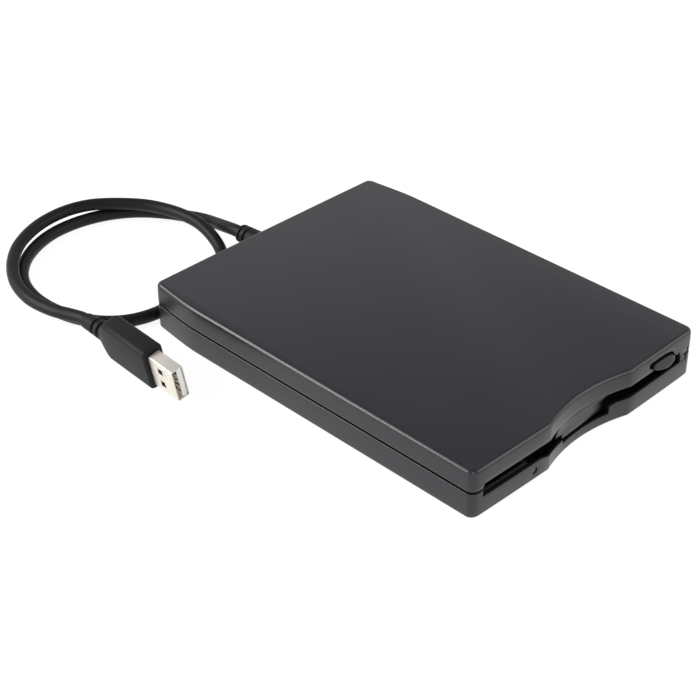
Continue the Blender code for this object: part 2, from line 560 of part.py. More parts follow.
def rod(name, start, radius, length, axis, finish=None, origin=(0.0, 0.0, 0.0),
        cutter=False, steps=SMALL_ROUND_STEPS):
    """A cylinder that starts at a point and runs along +X, +Y or +Z."""
    form = bmesh.new()
    bmesh.ops.create_cone(
        form, cap_ends=True, segments=steps, radius1=radius, radius2=radius, depth=length,
        matrix=Matrix.Translation((0.0, 0.0, length / 2)),
    )
    mesh = bpy.data.meshes.new(name)
    form.to_mesh(mesh)
    form.free()
    at = Vector((start[0], start[1], lift(start[2])))
    mesh.transform(Matrix.Translation(at) @ AXIS_TURNS[axis])
    if not cutter:
        smooth(mesh)
    return place(name, mesh, finish, origin, cutter)


def prism(name, outlines, low, high, finish=None, cutter=False, turn=None):
    """Flat outlines in X and Y, filled and extruded between two heights."""
    curve = bpy.data.curves.new(name, "CURVE")
    curve.dimensions = "2D"
    curve.fill_mode = "BOTH"
    curve.extrude = (high - low) / 2
    for outline in outlines:
        spline = curve.splines.new("POLY")
        spline.points.add(len(outline) - 1)
        for point, (x, y) in zip(spline.points, outline):
            point.co = (x, y, 0.0, 1.0)
        spline.use_cyclic_u = True
    holder = bpy.data.objects.new(name + "_outline", curve)
    cutters.objects.link(holder)
    bpy.context.view_layer.update()
    evaluated = holder.evaluated_get(bpy.context.evaluated_depsgraph_get())
    mesh = bpy.data.meshes.new_from_object(evaluated)
    bpy.data.objects.remove(holder, do_unlink=True)
    form = bmesh.new()
    form.from_mesh(mesh)
    bmesh.ops.remove_doubles(form, verts=form.verts, dist=MERGE)
    bmesh.ops.recalc_face_normals(form, faces=form.faces)
    form.to_mesh(mesh)
    form.free()
    mesh.name = name
    mesh.transform(Matrix.Translation((0.0, 0.0, (low + high) / 2)))
    if turn is not None:
        mesh.transform(turn)
    return place(name, mesh, finish, cutter=cutter)


def turned(name, profile, matrix, finish, steps=ROUND_STEPS, origin=(0.0, 0.0, 0.0)):
    """A profile of (radius, height) from the top centre down the outer side, turned about Z."""
    mesh = bpy.data.meshes.new(name)
    points = [(radius, 0.0, height) for radius, height in profile]
    edges = [(index, index + 1) for index in range(len(points) - 1)]
    mesh.from_pydata(points, edges, [])
    item = bpy.data.objects.new(name, mesh)
    cutters.objects.link(item)
    screw = item.modifiers.new("turn", "SCREW")
    screw.axis = "Z"
    screw.steps = steps
    screw.render_steps = steps
    screw.use_merge_vertices = True
    screw.merge_threshold = MERGE
    bpy.context.view_layer.update()
    evaluated = item.evaluated_get(bpy.context.evaluated_depsgraph_get())
    solid = bpy.data.meshes.new_from_object(evaluated)
    bpy.data.objects.remove(item, do_unlink=True)
    form = bmesh.new()
    form.from_mesh(solid)
    bmesh.ops.remove_doubles(form, verts=form.verts, dist=MERGE)
    bmesh.ops.recalc_face_normals(form, faces=form.faces)
    form.to_mesh(solid)
    form.free()
    solid.name = name
    solid.transform(matrix)
    smooth(solid)
    return place(name, solid, finish, origin)


def tube(name, points, radius, finish, resolution=2):
    """A round tube along points, closed at both ends."""
    curve = bpy.data.curves.new(name, "CURVE")
    curve.dimensions = "3D"
    curve.bevel_depth = radius
    curve.bevel_resolution = resolution
    curve.use_fill_caps = True
    spline = curve.splines.new("POLY")
    spline.points.add(len(points) - 1)
    for point, place_at in zip(spline.points, points):
        point.co = (*place_at, 1.0)
    item = bpy.data.objects.new(name, curve)
    parts.objects.link(item)
    curve.materials.append(finish)
    return item


def spline_points(route, spacing):
    """Points at an even spacing on a smooth curve through a route's own points."""
    route = [Vector(point) for point in route]
    ends = [route[0] * 2 - route[1]] + route + [route[-1] * 2 - route[-2]]
    dense = [route[0]]
    for before, start, end, after in zip(ends, ends[1:], ends[2:], ends[3:]):
        for step in range(1, CURVE_STEPS + 1):
            t = step / CURVE_STEPS
            lead = (end - before) / 2
            trail = (after - start) / 2
            dense.append(
                start * (2 * t**3 - 3 * t**2 + 1) + lead * (t**3 - 2 * t**2 + t)
                + end * (3 * t**2 - 2 * t**3) + trail * (t**3 - t**2)
            )
    length = sum((b - a).length for a, b in zip(dense, dense[1:]))
    count = max(2, round(length / spacing))
    wanted = [length * index / count for index in range(1, count)]
    chosen = [dense[0]]
    run = 0.0
    for a, b in zip(dense, dense[1:]):
        step = (b - a).length
        while wanted and run + step >= wanted[0]:
            chosen.append(a.lerp(b, (wanted.pop(0) - run) / step))
        run += step
    chosen.append(dense[-1])
    return chosen, length


def cut(item, tool, operation="DIFFERENCE"):
    """A Boolean with the exact solver."""
    modifier = item.modifiers.new(tool.name, "BOOLEAN")
    modifier.operation = operation
    modifier.object = tool
    modifier.solver = "EXACT"


def round_edges(item, width, steps=FILLET_STEPS, angle=radians(50.0)):
    modifier = item.modifiers.new("rounded edges", "BEVEL")
    modifier.width = width
    modifier.segments = steps
    modifier.limit_method = "ANGLE"
    modifier.angle_limit = angle


def arc(centre_x, centre_y, radius, start, end, steps):
    return [
        (
            centre_x + radius * cos(start + (end - start) * index / steps),
            centre_y + radius * sin(start + (end - start) * index / steps),
        )
        for index in range(steps + 1)
    ]


def front_line(x):
    """Y of the case's front at X: a slight bow with the finger notch in it."""
    y = FRONT_Y + FRONT_BOW * (x / (CASE_WIDTH / 2)) ** 2
    reach = abs(x - NOTCH_CENTRE) / (NOTCH_WIDTH / 2)
    if reach < 1.0:
        y += NOTCH_DEPTH * (1.0 - reach * reach)
    return y


def case_outline(inset):
    """The case seen from above, drawn in by an inset."""
    half = CASE_WIDTH / 2 - inset
    rear_half = half - TAPER_INSET
    corner = max(CORNER_RADIUS - inset, GAP)
    rear = REAR_Y - inset
    flat = half - corner
    outline = []
    ends = [-flat, NOTCH_CENTRE - NOTCH_WIDTH / 2, NOTCH_CENTRE + NOTCH_WIDTH / 2, flat]
    for start, end, steps in zip(ends, ends[1:], (FRONT_STEPS, NOTCH_STEPS, FRONT_STEPS)):
        for index in range(steps):
            x = start + (end - start) * index / steps
            outline.append((x, front_line(x) + inset))
    corner_y = front_line(flat) + inset + corner
    outline += arc(flat, corner_y, corner, -pi / 2, 0.0, CORNER_STEPS)
    outline.append((half, REAR_Y - TAPER_LENGTH))
    outline += arc(rear_half - corner, rear - REAR_BOW - corner, corner, 0.0, pi / 2, CORNER_STEPS)
    outline.append((0.0, rear))
    outline += arc(corner - rear_half, rear - REAR_BOW - corner, corner, pi / 2, pi, CORNER_STEPS)
    outline.append((-half, REAR_Y - TAPER_LENGTH))
    outline += arc(-flat, corner_y, corner, pi, 3 * pi / 2, CORNER_STEPS)[:-1]
    return outline


def slot_shape(reach_x, reach_y, radius):
    """A round-ended slot from the origin to a reach, as an outline."""
    reach = Vector((reach_x, reach_y))
    facing = atan2(reach_y, reach_x)
    shape = arc(0.0, 0.0, radius, facing + pi / 2, facing + 3 * pi / 2, CORNER_STEPS)
    shape += arc(reach.x, reach.y, radius, facing - pi / 2, facing + pi / 2, CORNER_STEPS)
    return shape


def whole_case_box(name, low, high):
    """A cutter over the whole plan of the case between two heights."""
    side = CASE_WIDTH / 2 + OVERRUN
    back = CASE_DEPTH / 2 + OVERRUN
    return box(name, (-side, -back, low), (side, back, high), cutter=True)


def relief_hole(name):
    start = (0.0, REAR_Y - CAVITY_INSET - OVERRUN, RELIEF_HEIGHT)
    length = CAVITY_INSET + 2 * OVERRUN
    return rod(name, start, RELIEF_RADIUS + GAP, length, "Y", cutter=True, steps=ROUND_STEPS)


def boss_places():
    return [(-BOSS_X, BOSS_Y), (BOSS_X, BOSS_Y)]


def make_top_cover(finish):
    outline = case_outline(0.0)
    cover = prism(
        "top_cover", [outline], lift(PARTING_LOW - TOP_FILLET), lift(CASE_HEIGHT), finish,
    )
    round_edges(cover, TOP_FILLET)
    cut(cover, whole_case_box("top_trim", -OVERRUN, PARTING_HIGH))
    cavity = prism(
        "top_cavity", [case_outline(WALL)], lift(-OVERRUN), lift(COVER_UNDERSIDE), cutter=True,
    )
    cut(cover, cavity)
    depth = NOTCH_DEPTH + CAVITY_INSET + OVERRUN
    slot = box(
        "top_slot", (SLOT_LEFT, FRONT_Y - OVERRUN, -OVERRUN), (SLOT_RIGHT, FRONT_Y + depth, SLOT_HIGH),
        cutter=True,
    )
    cut(cover, slot)
    corner = CUTOUT_SLANT
    eject = prism(
        "eject_cutout",
        [[
            (CUTOUT_LEFT, -OVERRUN), (CUTOUT_RIGHT, -OVERRUN), (CUTOUT_RIGHT, SLOT_HIGH),
            (CUTOUT_RIGHT - corner, CUTOUT_HIGH), (CUTOUT_LEFT, CUTOUT_HIGH),
        ]],
        -depth, OVERRUN, cutter=True,
        turn=Matrix.Translation((0.0, FRONT_Y, lift(0.0))) @ Matrix.Rotation(pi / 2, 4, "X"),
    )
    cut(cover, eject)
    for index, (x, y) in enumerate(boss_places()):
        length = COVER_UNDERSIDE + SMALL_OVERRUN - BOSS_TOP - BOSS_SPLIT
        boss = rod(f"top_boss_{index}", (x, y, BOSS_TOP + BOSS_SPLIT), BOSS_RADIUS, length, "Z",
                   cutter=True)
        cut(cover, boss, "UNION")
        bore = rod(f"top_bore_{index}", (x, y, 0.0), CASE_SCREW_RADIUS + GAP,
                   CASE_SCREW_RECESS + CASE_SCREW_HEAD_HEIGHT + CASE_SCREW_LENGTH + GAP, "Z",
                   cutter=True)
        cut(cover, bore)
    cut(cover, relief_hole("top_relief_hole"))
    return cover


def foot_places():
    x = CASE_WIDTH / 2 - FOOT_INSET_X
    y = CASE_DEPTH / 2 - FOOT_INSET_Y
    return {"front_left": (-x, -y), "front_right": (x, -y), "rear_left": (-x, y - FOOT_BACK_STEP),
            "rear_right": (x, y - FOOT_BACK_STEP)}


def chassis_screw_places():
    x = CHASSIS_SCREW_SIDE_X
    left, right = DISK_CENTRE_X - x, DISK_CENTRE_X + x
    return {
        "front_left": (left, CHASSIS_SCREW_FRONT_Y), "front_right": (right, CHASSIS_SCREW_FRONT_Y),
        "rear_left": (left, CHASSIS_SCREW_REAR_Y), "rear_right": (right, CHASSIS_SCREW_REAR_Y),
    }


def make_bottom_cover(finish):
    cover = prism(
        "bottom_cover", [case_outline(0.0)], lift(0.0), lift(LIP_HEIGHT + OVERRUN), finish,
    )
    round_edges(cover, BOTTOM_FILLET)
    cut(cover, whole_case_box("lip_trim", LIP_HEIGHT, CASE_HEIGHT + OVERRUN))
    ring = prism(
        "lip_step", [case_outline(-OVERRUN), list(reversed(case_outline(LIP_INSET)))],
        lift(PARTING_LOW), lift(CASE_HEIGHT), cutter=True,
    )
    cut(cover, ring)
    cavity = prism(
        "bottom_cavity", [case_outline(CAVITY_INSET)], lift(FLOOR_THICKNESS),
        lift(CASE_HEIGHT + OVERRUN), cutter=True,
    )
    cut(cover, cavity)
    back = FRONT_Y + NOTCH_DEPTH + CAVITY_INSET + OVERRUN
    slot = box(
        "bottom_slot", (SLOT_LEFT, FRONT_Y - OVERRUN, SLOT_LOW),
        (SLOT_RIGHT, back, CASE_HEIGHT), cutter=True,
    )
    cut(cover, slot)
    dip = box(
        "bottom_slot_dip", (SLOT_DIP_LEFT, FRONT_Y - OVERRUN, SLOT_DIP_LOW),
        (SLOT_DIP_RIGHT, back, CASE_HEIGHT), cutter=True,
    )
    cut(cover, dip)
    for index, (x, y) in enumerate(boss_places()):
        boss = rod(f"bottom_boss_{index}", (x, y, FLOOR_THICKNESS - SMALL_OVERRUN), BOSS_RADIUS,
                   BOSS_TOP - FLOOR_THICKNESS + SMALL_OVERRUN, "Z", cutter=True)
        cut(cover, boss, "UNION")
        bore = rod(f"bottom_bore_{index}", (x, y, -OVERRUN), CASE_SCREW_RADIUS + SCREW_HOLE_MARGIN,
                   CASE_HEIGHT + OVERRUN, "Z", cutter=True)
        cut(cover, bore)
        sink_depth = OVERRUN + CASE_SCREW_RECESS + CASE_SCREW_HEAD_HEIGHT + GAP
        sink = rod(f"bottom_sink_{index}", (x, y, -OVERRUN), CASE_SCREW_HEAD_RADIUS + GAP,
                   sink_depth, "Z", cutter=True)
        cut(cover, sink)
    for name, (x, y) in foot_places().items():
        recess = rod(f"foot_recess_{name}", (x, y, -OVERRUN), FOOT_RADIUS + GAP,
                     OVERRUN + FOOT_THICKNESS - FOOT_PROUD + GAP, "Z", cutter=True, steps=ROUND_STEPS)
        cut(cover, recess)
    for name, (x, y) in chassis_screw_places().items():
        depth = CHASSIS_SCREW_BITE + GAP
        hole = rod(f"chassis_screw_hole_{name}", (x, y, FLOOR_THICKNESS - depth),
                   CHASSIS_SCREW_RADIUS + GAP, depth + SMALL_OVERRUN, "Z", cutter=True)
        cut(cover, hole)
    pipe_hole = rod("pipe_hole", (PIPE_X, FRONT_Y - OVERRUN, PIPE_HEIGHT), PIPE_RADIUS + GAP,
                    CAVITY_INSET + 2 * OVERRUN, "Y", cutter=True)
    cut(cover, pipe_hole)
    cut(cover, relief_hole("bottom_relief_hole"))
    return cover


def make_feet(finish):
    for name, (x, y) in foot_places().items():
        top = FOOT_THICKNESS - FOOT_PROUD
        profile = [
            (0.0, FOOT_THICKNESS), (FOOT_RADIUS, FOOT_THICKNESS), (FOOT_RADIUS, FOOT_EDGE),
            (FOOT_RADIUS - FOOT_EDGE, 0.0), (0.0, 0.0),
        ]
        at = Matrix.Translation((x, y, lift(top - FOOT_THICKNESS)))
        turned(f"foot_{name}", profile, at, finish)


def make_screw(name, x, y, head_low, head_radius, head_height, radius, length, upward, finish):
    """A pan-head screw with a straight drive slot; its shank runs up or down from the head."""
    if upward:
        profile = [(0.0, head_height + length), (radius, head_height + length),
                   (radius, head_height), (head_radius, head_height), (head_radius, 0.0), (0.0, 0.0)]
        low = head_low
        slot_low, slot_high = head_low - SMALL_OVERRUN, head_low + DRIVE_SLOT_DEPTH
    else:
        profile = [(0.0, length + head_height), (head_radius, length + head_height),
                   (head_radius, length), (radius, length), (radius, 0.0), (0.0, 0.0)]
        low = head_low - length
        slot_low = head_low + head_height - DRIVE_SLOT_DEPTH
        slot_high = head_low + head_height + SMALL_OVERRUN
    at = Matrix.Translation((x, y, lift(low)))
    screw = turned(name, profile, at, finish, SMALL_ROUND_STEPS)
    half = DRIVE_SLOT_WIDTH / 2
    reach = head_radius * SLOT_REACH_SHARE
    slot = box(f"{name}_slot", (x - reach, y - half, slot_low), (x + reach, y + half, slot_high),
               cutter=True)
    cut(screw, slot)
    return screw


def make_screws(steel):
    for side, (x, y) in zip(("left", "right"), boss_places()):
        make_screw(
            f"case_screw_{side}", x, y, CASE_SCREW_RECESS, CASE_SCREW_HEAD_RADIUS,
            CASE_SCREW_HEAD_HEIGHT, CASE_SCREW_RADIUS, CASE_SCREW_LENGTH, True, steel,
        )
    for name, (x, y) in chassis_screw_places().items():
        length = GAP + CHASSIS_SHEET + GAP + CHASSIS_SCREW_BITE
        make_screw(
            f"chassis_screw_{name}", x, y, DECK, CHASSIS_SCREW_HEAD_RADIUS,
            CHASSIS_SCREW_HEAD_HEIGHT, CHASSIS_SCREW_RADIUS, length, False, steel,
        )


def make_door(finish, block_finish):
    """The sprung flap behind the slot; its bulge closes the finger notch."""
    axis = (DISK_CENTRE_X, DOOR_AXIS_Y, lift(DOOR_AXIS_HEIGHT))
    half = DOOR_THICKNESS / 2
    top = DOOR_AXIS_HEIGHT + DOOR_TOP_MARGIN
    door = box(
        "dust_door", (DOOR_LEFT, DOOR_AXIS_Y - half, DOOR_LOW),
        (DOOR_RIGHT, DOOR_AXIS_Y + half, top), finish, origin=axis,
    )
    bulge = box(
        "door_bulge", (BULGE_LEFT, BULGE_FACE_Y, BULGE_LOW),
        (BULGE_RIGHT, DOOR_AXIS_Y, SLOT_HIGH - GAP), cutter=True,
    )
    cut(door, bulge, "UNION")
    for side, x in (("left", DOOR_LEFT - PIVOT_PIN_LENGTH), ("right", DOOR_RIGHT - SMALL_OVERRUN)):
        pin = rod(f"door_pin_{side}", (x, DOOR_AXIS_Y, DOOR_AXIS_HEIGHT), PIVOT_PIN_RADIUS,
                  PIVOT_PIN_LENGTH + SMALL_OVERRUN, "X", cutter=True)
        cut(door, pin, "UNION")
        if side == "left":
            inner, outer = DOOR_LEFT - GAP, DOOR_LEFT - GAP - PIVOT_BLOCK_WIDTH
        else:
            inner, outer = DOOR_RIGHT + GAP, DOOR_RIGHT + GAP + PIVOT_BLOCK_WIDTH
        near, far = sorted((inner, outer))
        deep = PIVOT_BLOCK_DEPTH / 2
        block = box(
            f"door_pivot_{side}", (near, DOOR_AXIS_Y - deep, DOOR_AXIS_HEIGHT - PIVOT_BLOCK_BELOW),
            (far, DOOR_AXIS_Y + deep, COVER_UNDERSIDE - GAP), block_finish,
        )
        bore = rod(f"door_pivot_bore_{side}", (near - OVERRUN, DOOR_AXIS_Y, DOOR_AXIS_HEIGHT),
                   PIVOT_PIN_RADIUS + GAP, PIVOT_BLOCK_WIDTH + 2 * OVERRUN, "X", cutter=True)
        cut(block, bore)
    return door


def make_eject(button_finish, plate_finish, spring_finish):
    origin = (BUTTON_LEFT, BUTTON_FACE_Y, lift(BUTTON_LOW))
    wide = BUTTON_RIGHT - BUTTON_LEFT
    tall = BUTTON_HIGH - BUTTON_LOW
    middle = BUTTON_LEFT + wide / 2
    face = [
        (BUTTON_LEFT + across * wide, BUTTON_LOW + up * tall) for across, up in BUTTON_OUTLINE_SHARES
    ]
    button = prism(
        "eject_button", [face], -BUTTON_HEAD_DEPTH, 0.0, button_finish,
        turn=Matrix.Translation((0.0, BUTTON_FACE_Y, lift(0.0))) @ Matrix.Rotation(pi / 2, 4, "X"),
    )
    button.data.transform(Matrix.Translation(-Vector(origin)))
    button.location = origin
    round_edges(button, BUTTON_EDGE, 2)
    stem_left = middle - STEM_WIDTH / 2
    stem = box(
        "button_stem", (stem_left, BUTTON_FACE_Y + BUTTON_HEAD_DEPTH - SMALL_OVERRUN, STEM_LOW),
        (stem_left + STEM_WIDTH, STEM_BACK_Y, STEM_HIGH), cutter=True,
    )
    cut(button, stem, "UNION")

    slider = box(
        "eject_slider", (SLIDER_LEFT, SLIDER_FRONT_Y, SLIDER_LOW), (SLIDER_RIGHT, SLIDER_BACK_Y, STEM_HIGH),
        plate_finish,
    )
    arm = box(
        "slider_arm", (stem_left, SLIDER_FRONT_Y, STEM_LOW),
        (SLIDER_RIGHT, SLIDER_FRONT_Y + SLIDER_ARM_DEPTH, STEM_HIGH), cutter=True,
    )
    cut(slider, arm, "UNION")
    toe = box(
        "slider_toe",
        (SLIDER_LEFT - SLIDER_TOE_LENGTH, SLIDER_BACK_Y - SLIDER_THICKNESS, SLIDER_LOW),
        (SLIDER_RIGHT, SLIDER_BACK_Y, CHASSIS_WINDOW_HIGH - GAP - RUNNING), cutter=True,
    )
    cut(slider, toe, "UNION")
    for name, y in (("front", PIN_FRONT_Y), ("rear", PIN_REAR_Y)):
        shape = slot_shape(EJECT_TRAVEL, -HOLDER_DROP, PIN_RADIUS + RUNNING)
        slot = prism(
            f"slider_slot_{name}", [shape], -OVERRUN, OVERRUN, cutter=True,
            turn=Matrix.Translation((SLIDER_LEFT, y, lift(PIN_HEIGHT)))
            @ Matrix.Rotation(pi / 2, 4, "Z") @ Matrix.Rotation(pi / 2, 4, "X"),
        )
        cut(slider, slot)

    low = SLIDER_BACK_Y + GAP + SPRING_WIRE_RADIUS
    coil = SPRING_LENGTH - 2 * SPRING_WIRE_RADIUS
    count = SPRING_CURLS * SPRING_POINTS_PER_CURL
    points = []
    for index in range(count + 1):
        turn = 2 * pi * index / SPRING_POINTS_PER_CURL
        points.append((
            SPRING_X + SPRING_RADIUS * cos(turn), low + coil * index / count,
            lift(SPRING_HEIGHT) + SPRING_RADIUS * sin(turn),
        ))
    tube("eject_spring", points, SPRING_WIRE_RADIUS, spring_finish, 1)


def make_holder(finish):
    """The cage that the disk slides into."""
    holder = box(
        "disk_holder", (HOLDER_LEFT, HOLDER_FRONT_Y, HOLDER_FLOOR_LOW),
        (HOLDER_RIGHT, HOLDER_REAR_Y, HOLDER_TOP), finish,
        origin=(DISK_CENTRE_X, HOLDER_REAR_Y, lift(HOLDER_FLOOR_LOW)),
    )
    cut(holder, box(
        "holder_chamber", (HOLDER_INNER_LEFT, HOLDER_FRONT_Y - OVERRUN, HOLDER_FLOOR_TOP),
        (HOLDER_INNER_RIGHT, HOLDER_REAR_Y + OVERRUN, HOLDER_ROOF_LOW), cutter=True,
    ))
    cut(holder, box(
        "holder_under",
        (HOLDER_INNER_LEFT + HOLDER_LIP_WIDTH, HOLDER_FRONT_Y - OVERRUN, HOLDER_FLOOR_LOW - OVERRUN),
        (HOLDER_INNER_RIGHT - HOLDER_LIP_WIDTH, HOLDER_REAR_Y + OVERRUN,
         HOLDER_FLOOR_TOP + SMALL_OVERRUN), cutter=True,
    ))
    half = HOLDER_WINDOW_WIDTH / 2
    cut(holder, box(
        "holder_window",
        (DISK_CENTRE_X - half, HOLDER_WINDOW_FRONT_Y, HOLDER_ROOF_LOW - SMALL_OVERRUN),
        (DISK_CENTRE_X + half, HOLDER_REAR_Y + OVERRUN, HOLDER_TOP + OVERRUN), cutter=True,
    ))
    for name, y in (("front", PIN_FRONT_Y), ("rear", PIN_REAR_Y)):
        overlap = HOLDER_SIDE_SHEET / 2
        right = rod(f"holder_pin_right_{name}", (HOLDER_RIGHT - overlap, y, PIN_HEIGHT), PIN_RADIUS,
                    SLIDER_RIGHT - HOLDER_RIGHT, "X", cutter=True)
        cut(holder, right, "UNION")
        length = CHASSIS_WALL + RUNNING + overlap
        left = rod(f"holder_pin_left_{name}", (HOLDER_LEFT + overlap - length, y, PIN_HEIGHT),
                   PIN_RADIUS, length, "X", cutter=True)
        cut(holder, left, "UNION")
    return holder


def make_chassis(finish, shield_finish):
    chassis = box(
        "chassis", (CHASSIS_LEFT, CHASSIS_FRONT_Y, CHASSIS_FLOOR_LOW),
        (CHASSIS_RIGHT, CHASSIS_REAR_Y, CHASSIS_TOP), finish,
    )
    cut(chassis, box(
        "chassis_inside", (CHASSIS_INNER_LEFT, CHASSIS_FRONT_Y - OVERRUN, CHASSIS_FLOOR_TOP),
        (CHASSIS_INNER_RIGHT, CHASSIS_REAR_Y + OVERRUN, CHASSIS_TOP + OVERRUN), cutter=True,
    ))
    cut(chassis, box(
        "chassis_window", (CHASSIS_INNER_RIGHT - SMALL_OVERRUN, CHASSIS_WINDOW_FRONT_Y,
                           CHASSIS_FLOOR_TOP + CHASSIS_SHEET),
        (CHASSIS_RIGHT + OVERRUN, CHASSIS_WINDOW_REAR_Y, CHASSIS_WINDOW_HIGH), cutter=True,
    ))
    for name, y in (("front", PIN_FRONT_Y), ("rear", PIN_REAR_Y)):
        for side, x in (("left", CHASSIS_LEFT), ("right", CHASSIS_RIGHT)):
            slot = prism(
                f"chassis_slot_{side}_{name}", [slot_shape(0.0, -HOLDER_DROP, PIN_RADIUS + RUNNING)],
                -CHASSIS_WALL - SMALL_OVERRUN, CHASSIS_WALL + SMALL_OVERRUN, cutter=True,
                turn=Matrix.Translation((x, y, lift(PIN_HEIGHT)))
                @ Matrix.Rotation(pi / 2, 4, "Z") @ Matrix.Rotation(pi / 2, 4, "X"),
            )
            cut(chassis, slot)
    for name, (x, y) in chassis_screw_places().items():
        hole = rod(f"chassis_hole_{name}", (x, y, CHASSIS_FLOOR_LOW - SMALL_OVERRUN),
                   CHASSIS_SCREW_RADIUS + GAP, CHASSIS_SHEET + 2 * SMALL_OVERRUN, "Z", cutter=True)
        cut(chassis, hole)
    post_y = SLIDER_BACK_Y + GAP + SPRING_LENGTH + GAP
    post = box(
        "spring_post", (SPRING_X - SPRING_POST_WIDTH / 2, post_y, CHASSIS_FLOOR_TOP - CHASSIS_SHEET / 2),
        (SPRING_X + SPRING_POST_WIDTH / 2, post_y + SPRING_POST_THICKNESS, SPRING_POST_HIGH), cutter=True,
    )
    cut(chassis, post, "UNION")
    shield_low = CHASSIS_TOP + GAP
    box(
        "top_shield", (CHASSIS_LEFT, SHIELD_FRONT_Y, shield_low),
        (CHASSIS_RIGHT, CHASSIS_REAR_Y, shield_low + SHIELD_SHEET), shield_finish,
    )
    return chassis


def make_spindle(board_finish, steel, pin_finish):
    half = SPINDLE_BOARD_WIDTH / 2
    box(
        "spindle_board", (DISK_CENTRE_X - half, SPINDLE_BOARD_FRONT_Y, DECK),
        (DISK_CENTRE_X + half, SPINDLE_BOARD_FRONT_Y + SPINDLE_BOARD_LENGTH, DECK + BOARD_THICKNESS),
        board_finish,
    )
    hub = ROTOR_HEIGHT + HUB_HEIGHT
    profile = [
        (0.0, hub + SHAFT_HEIGHT), (SHAFT_RADIUS, hub + SHAFT_HEIGHT), (SHAFT_RADIUS, hub),
        (HUB_RADIUS, hub), (HUB_RADIUS, ROTOR_HEIGHT), (ROTOR_RADIUS - ROTOR_EDGE, ROTOR_HEIGHT),
        (ROTOR_RADIUS, ROTOR_HEIGHT - ROTOR_EDGE), (ROTOR_RADIUS, 0.0), (0.0, 0.0),
    ]
    origin = (DISK_CENTRE_X, SPINDLE_Y, lift(ROTOR_LOW))
    turned("spindle_rotor", profile, Matrix.Translation(origin), steel, ROUND_STEPS, origin)
    rod("drive_pin", (DISK_CENTRE_X + DRIVE_PIN_ORBIT, SPINDLE_Y, ROTOR_LOW + hub + GAP),
        DRIVE_PIN_RADIUS, DRIVE_PIN_HEIGHT, "Z", pin_finish, origin)


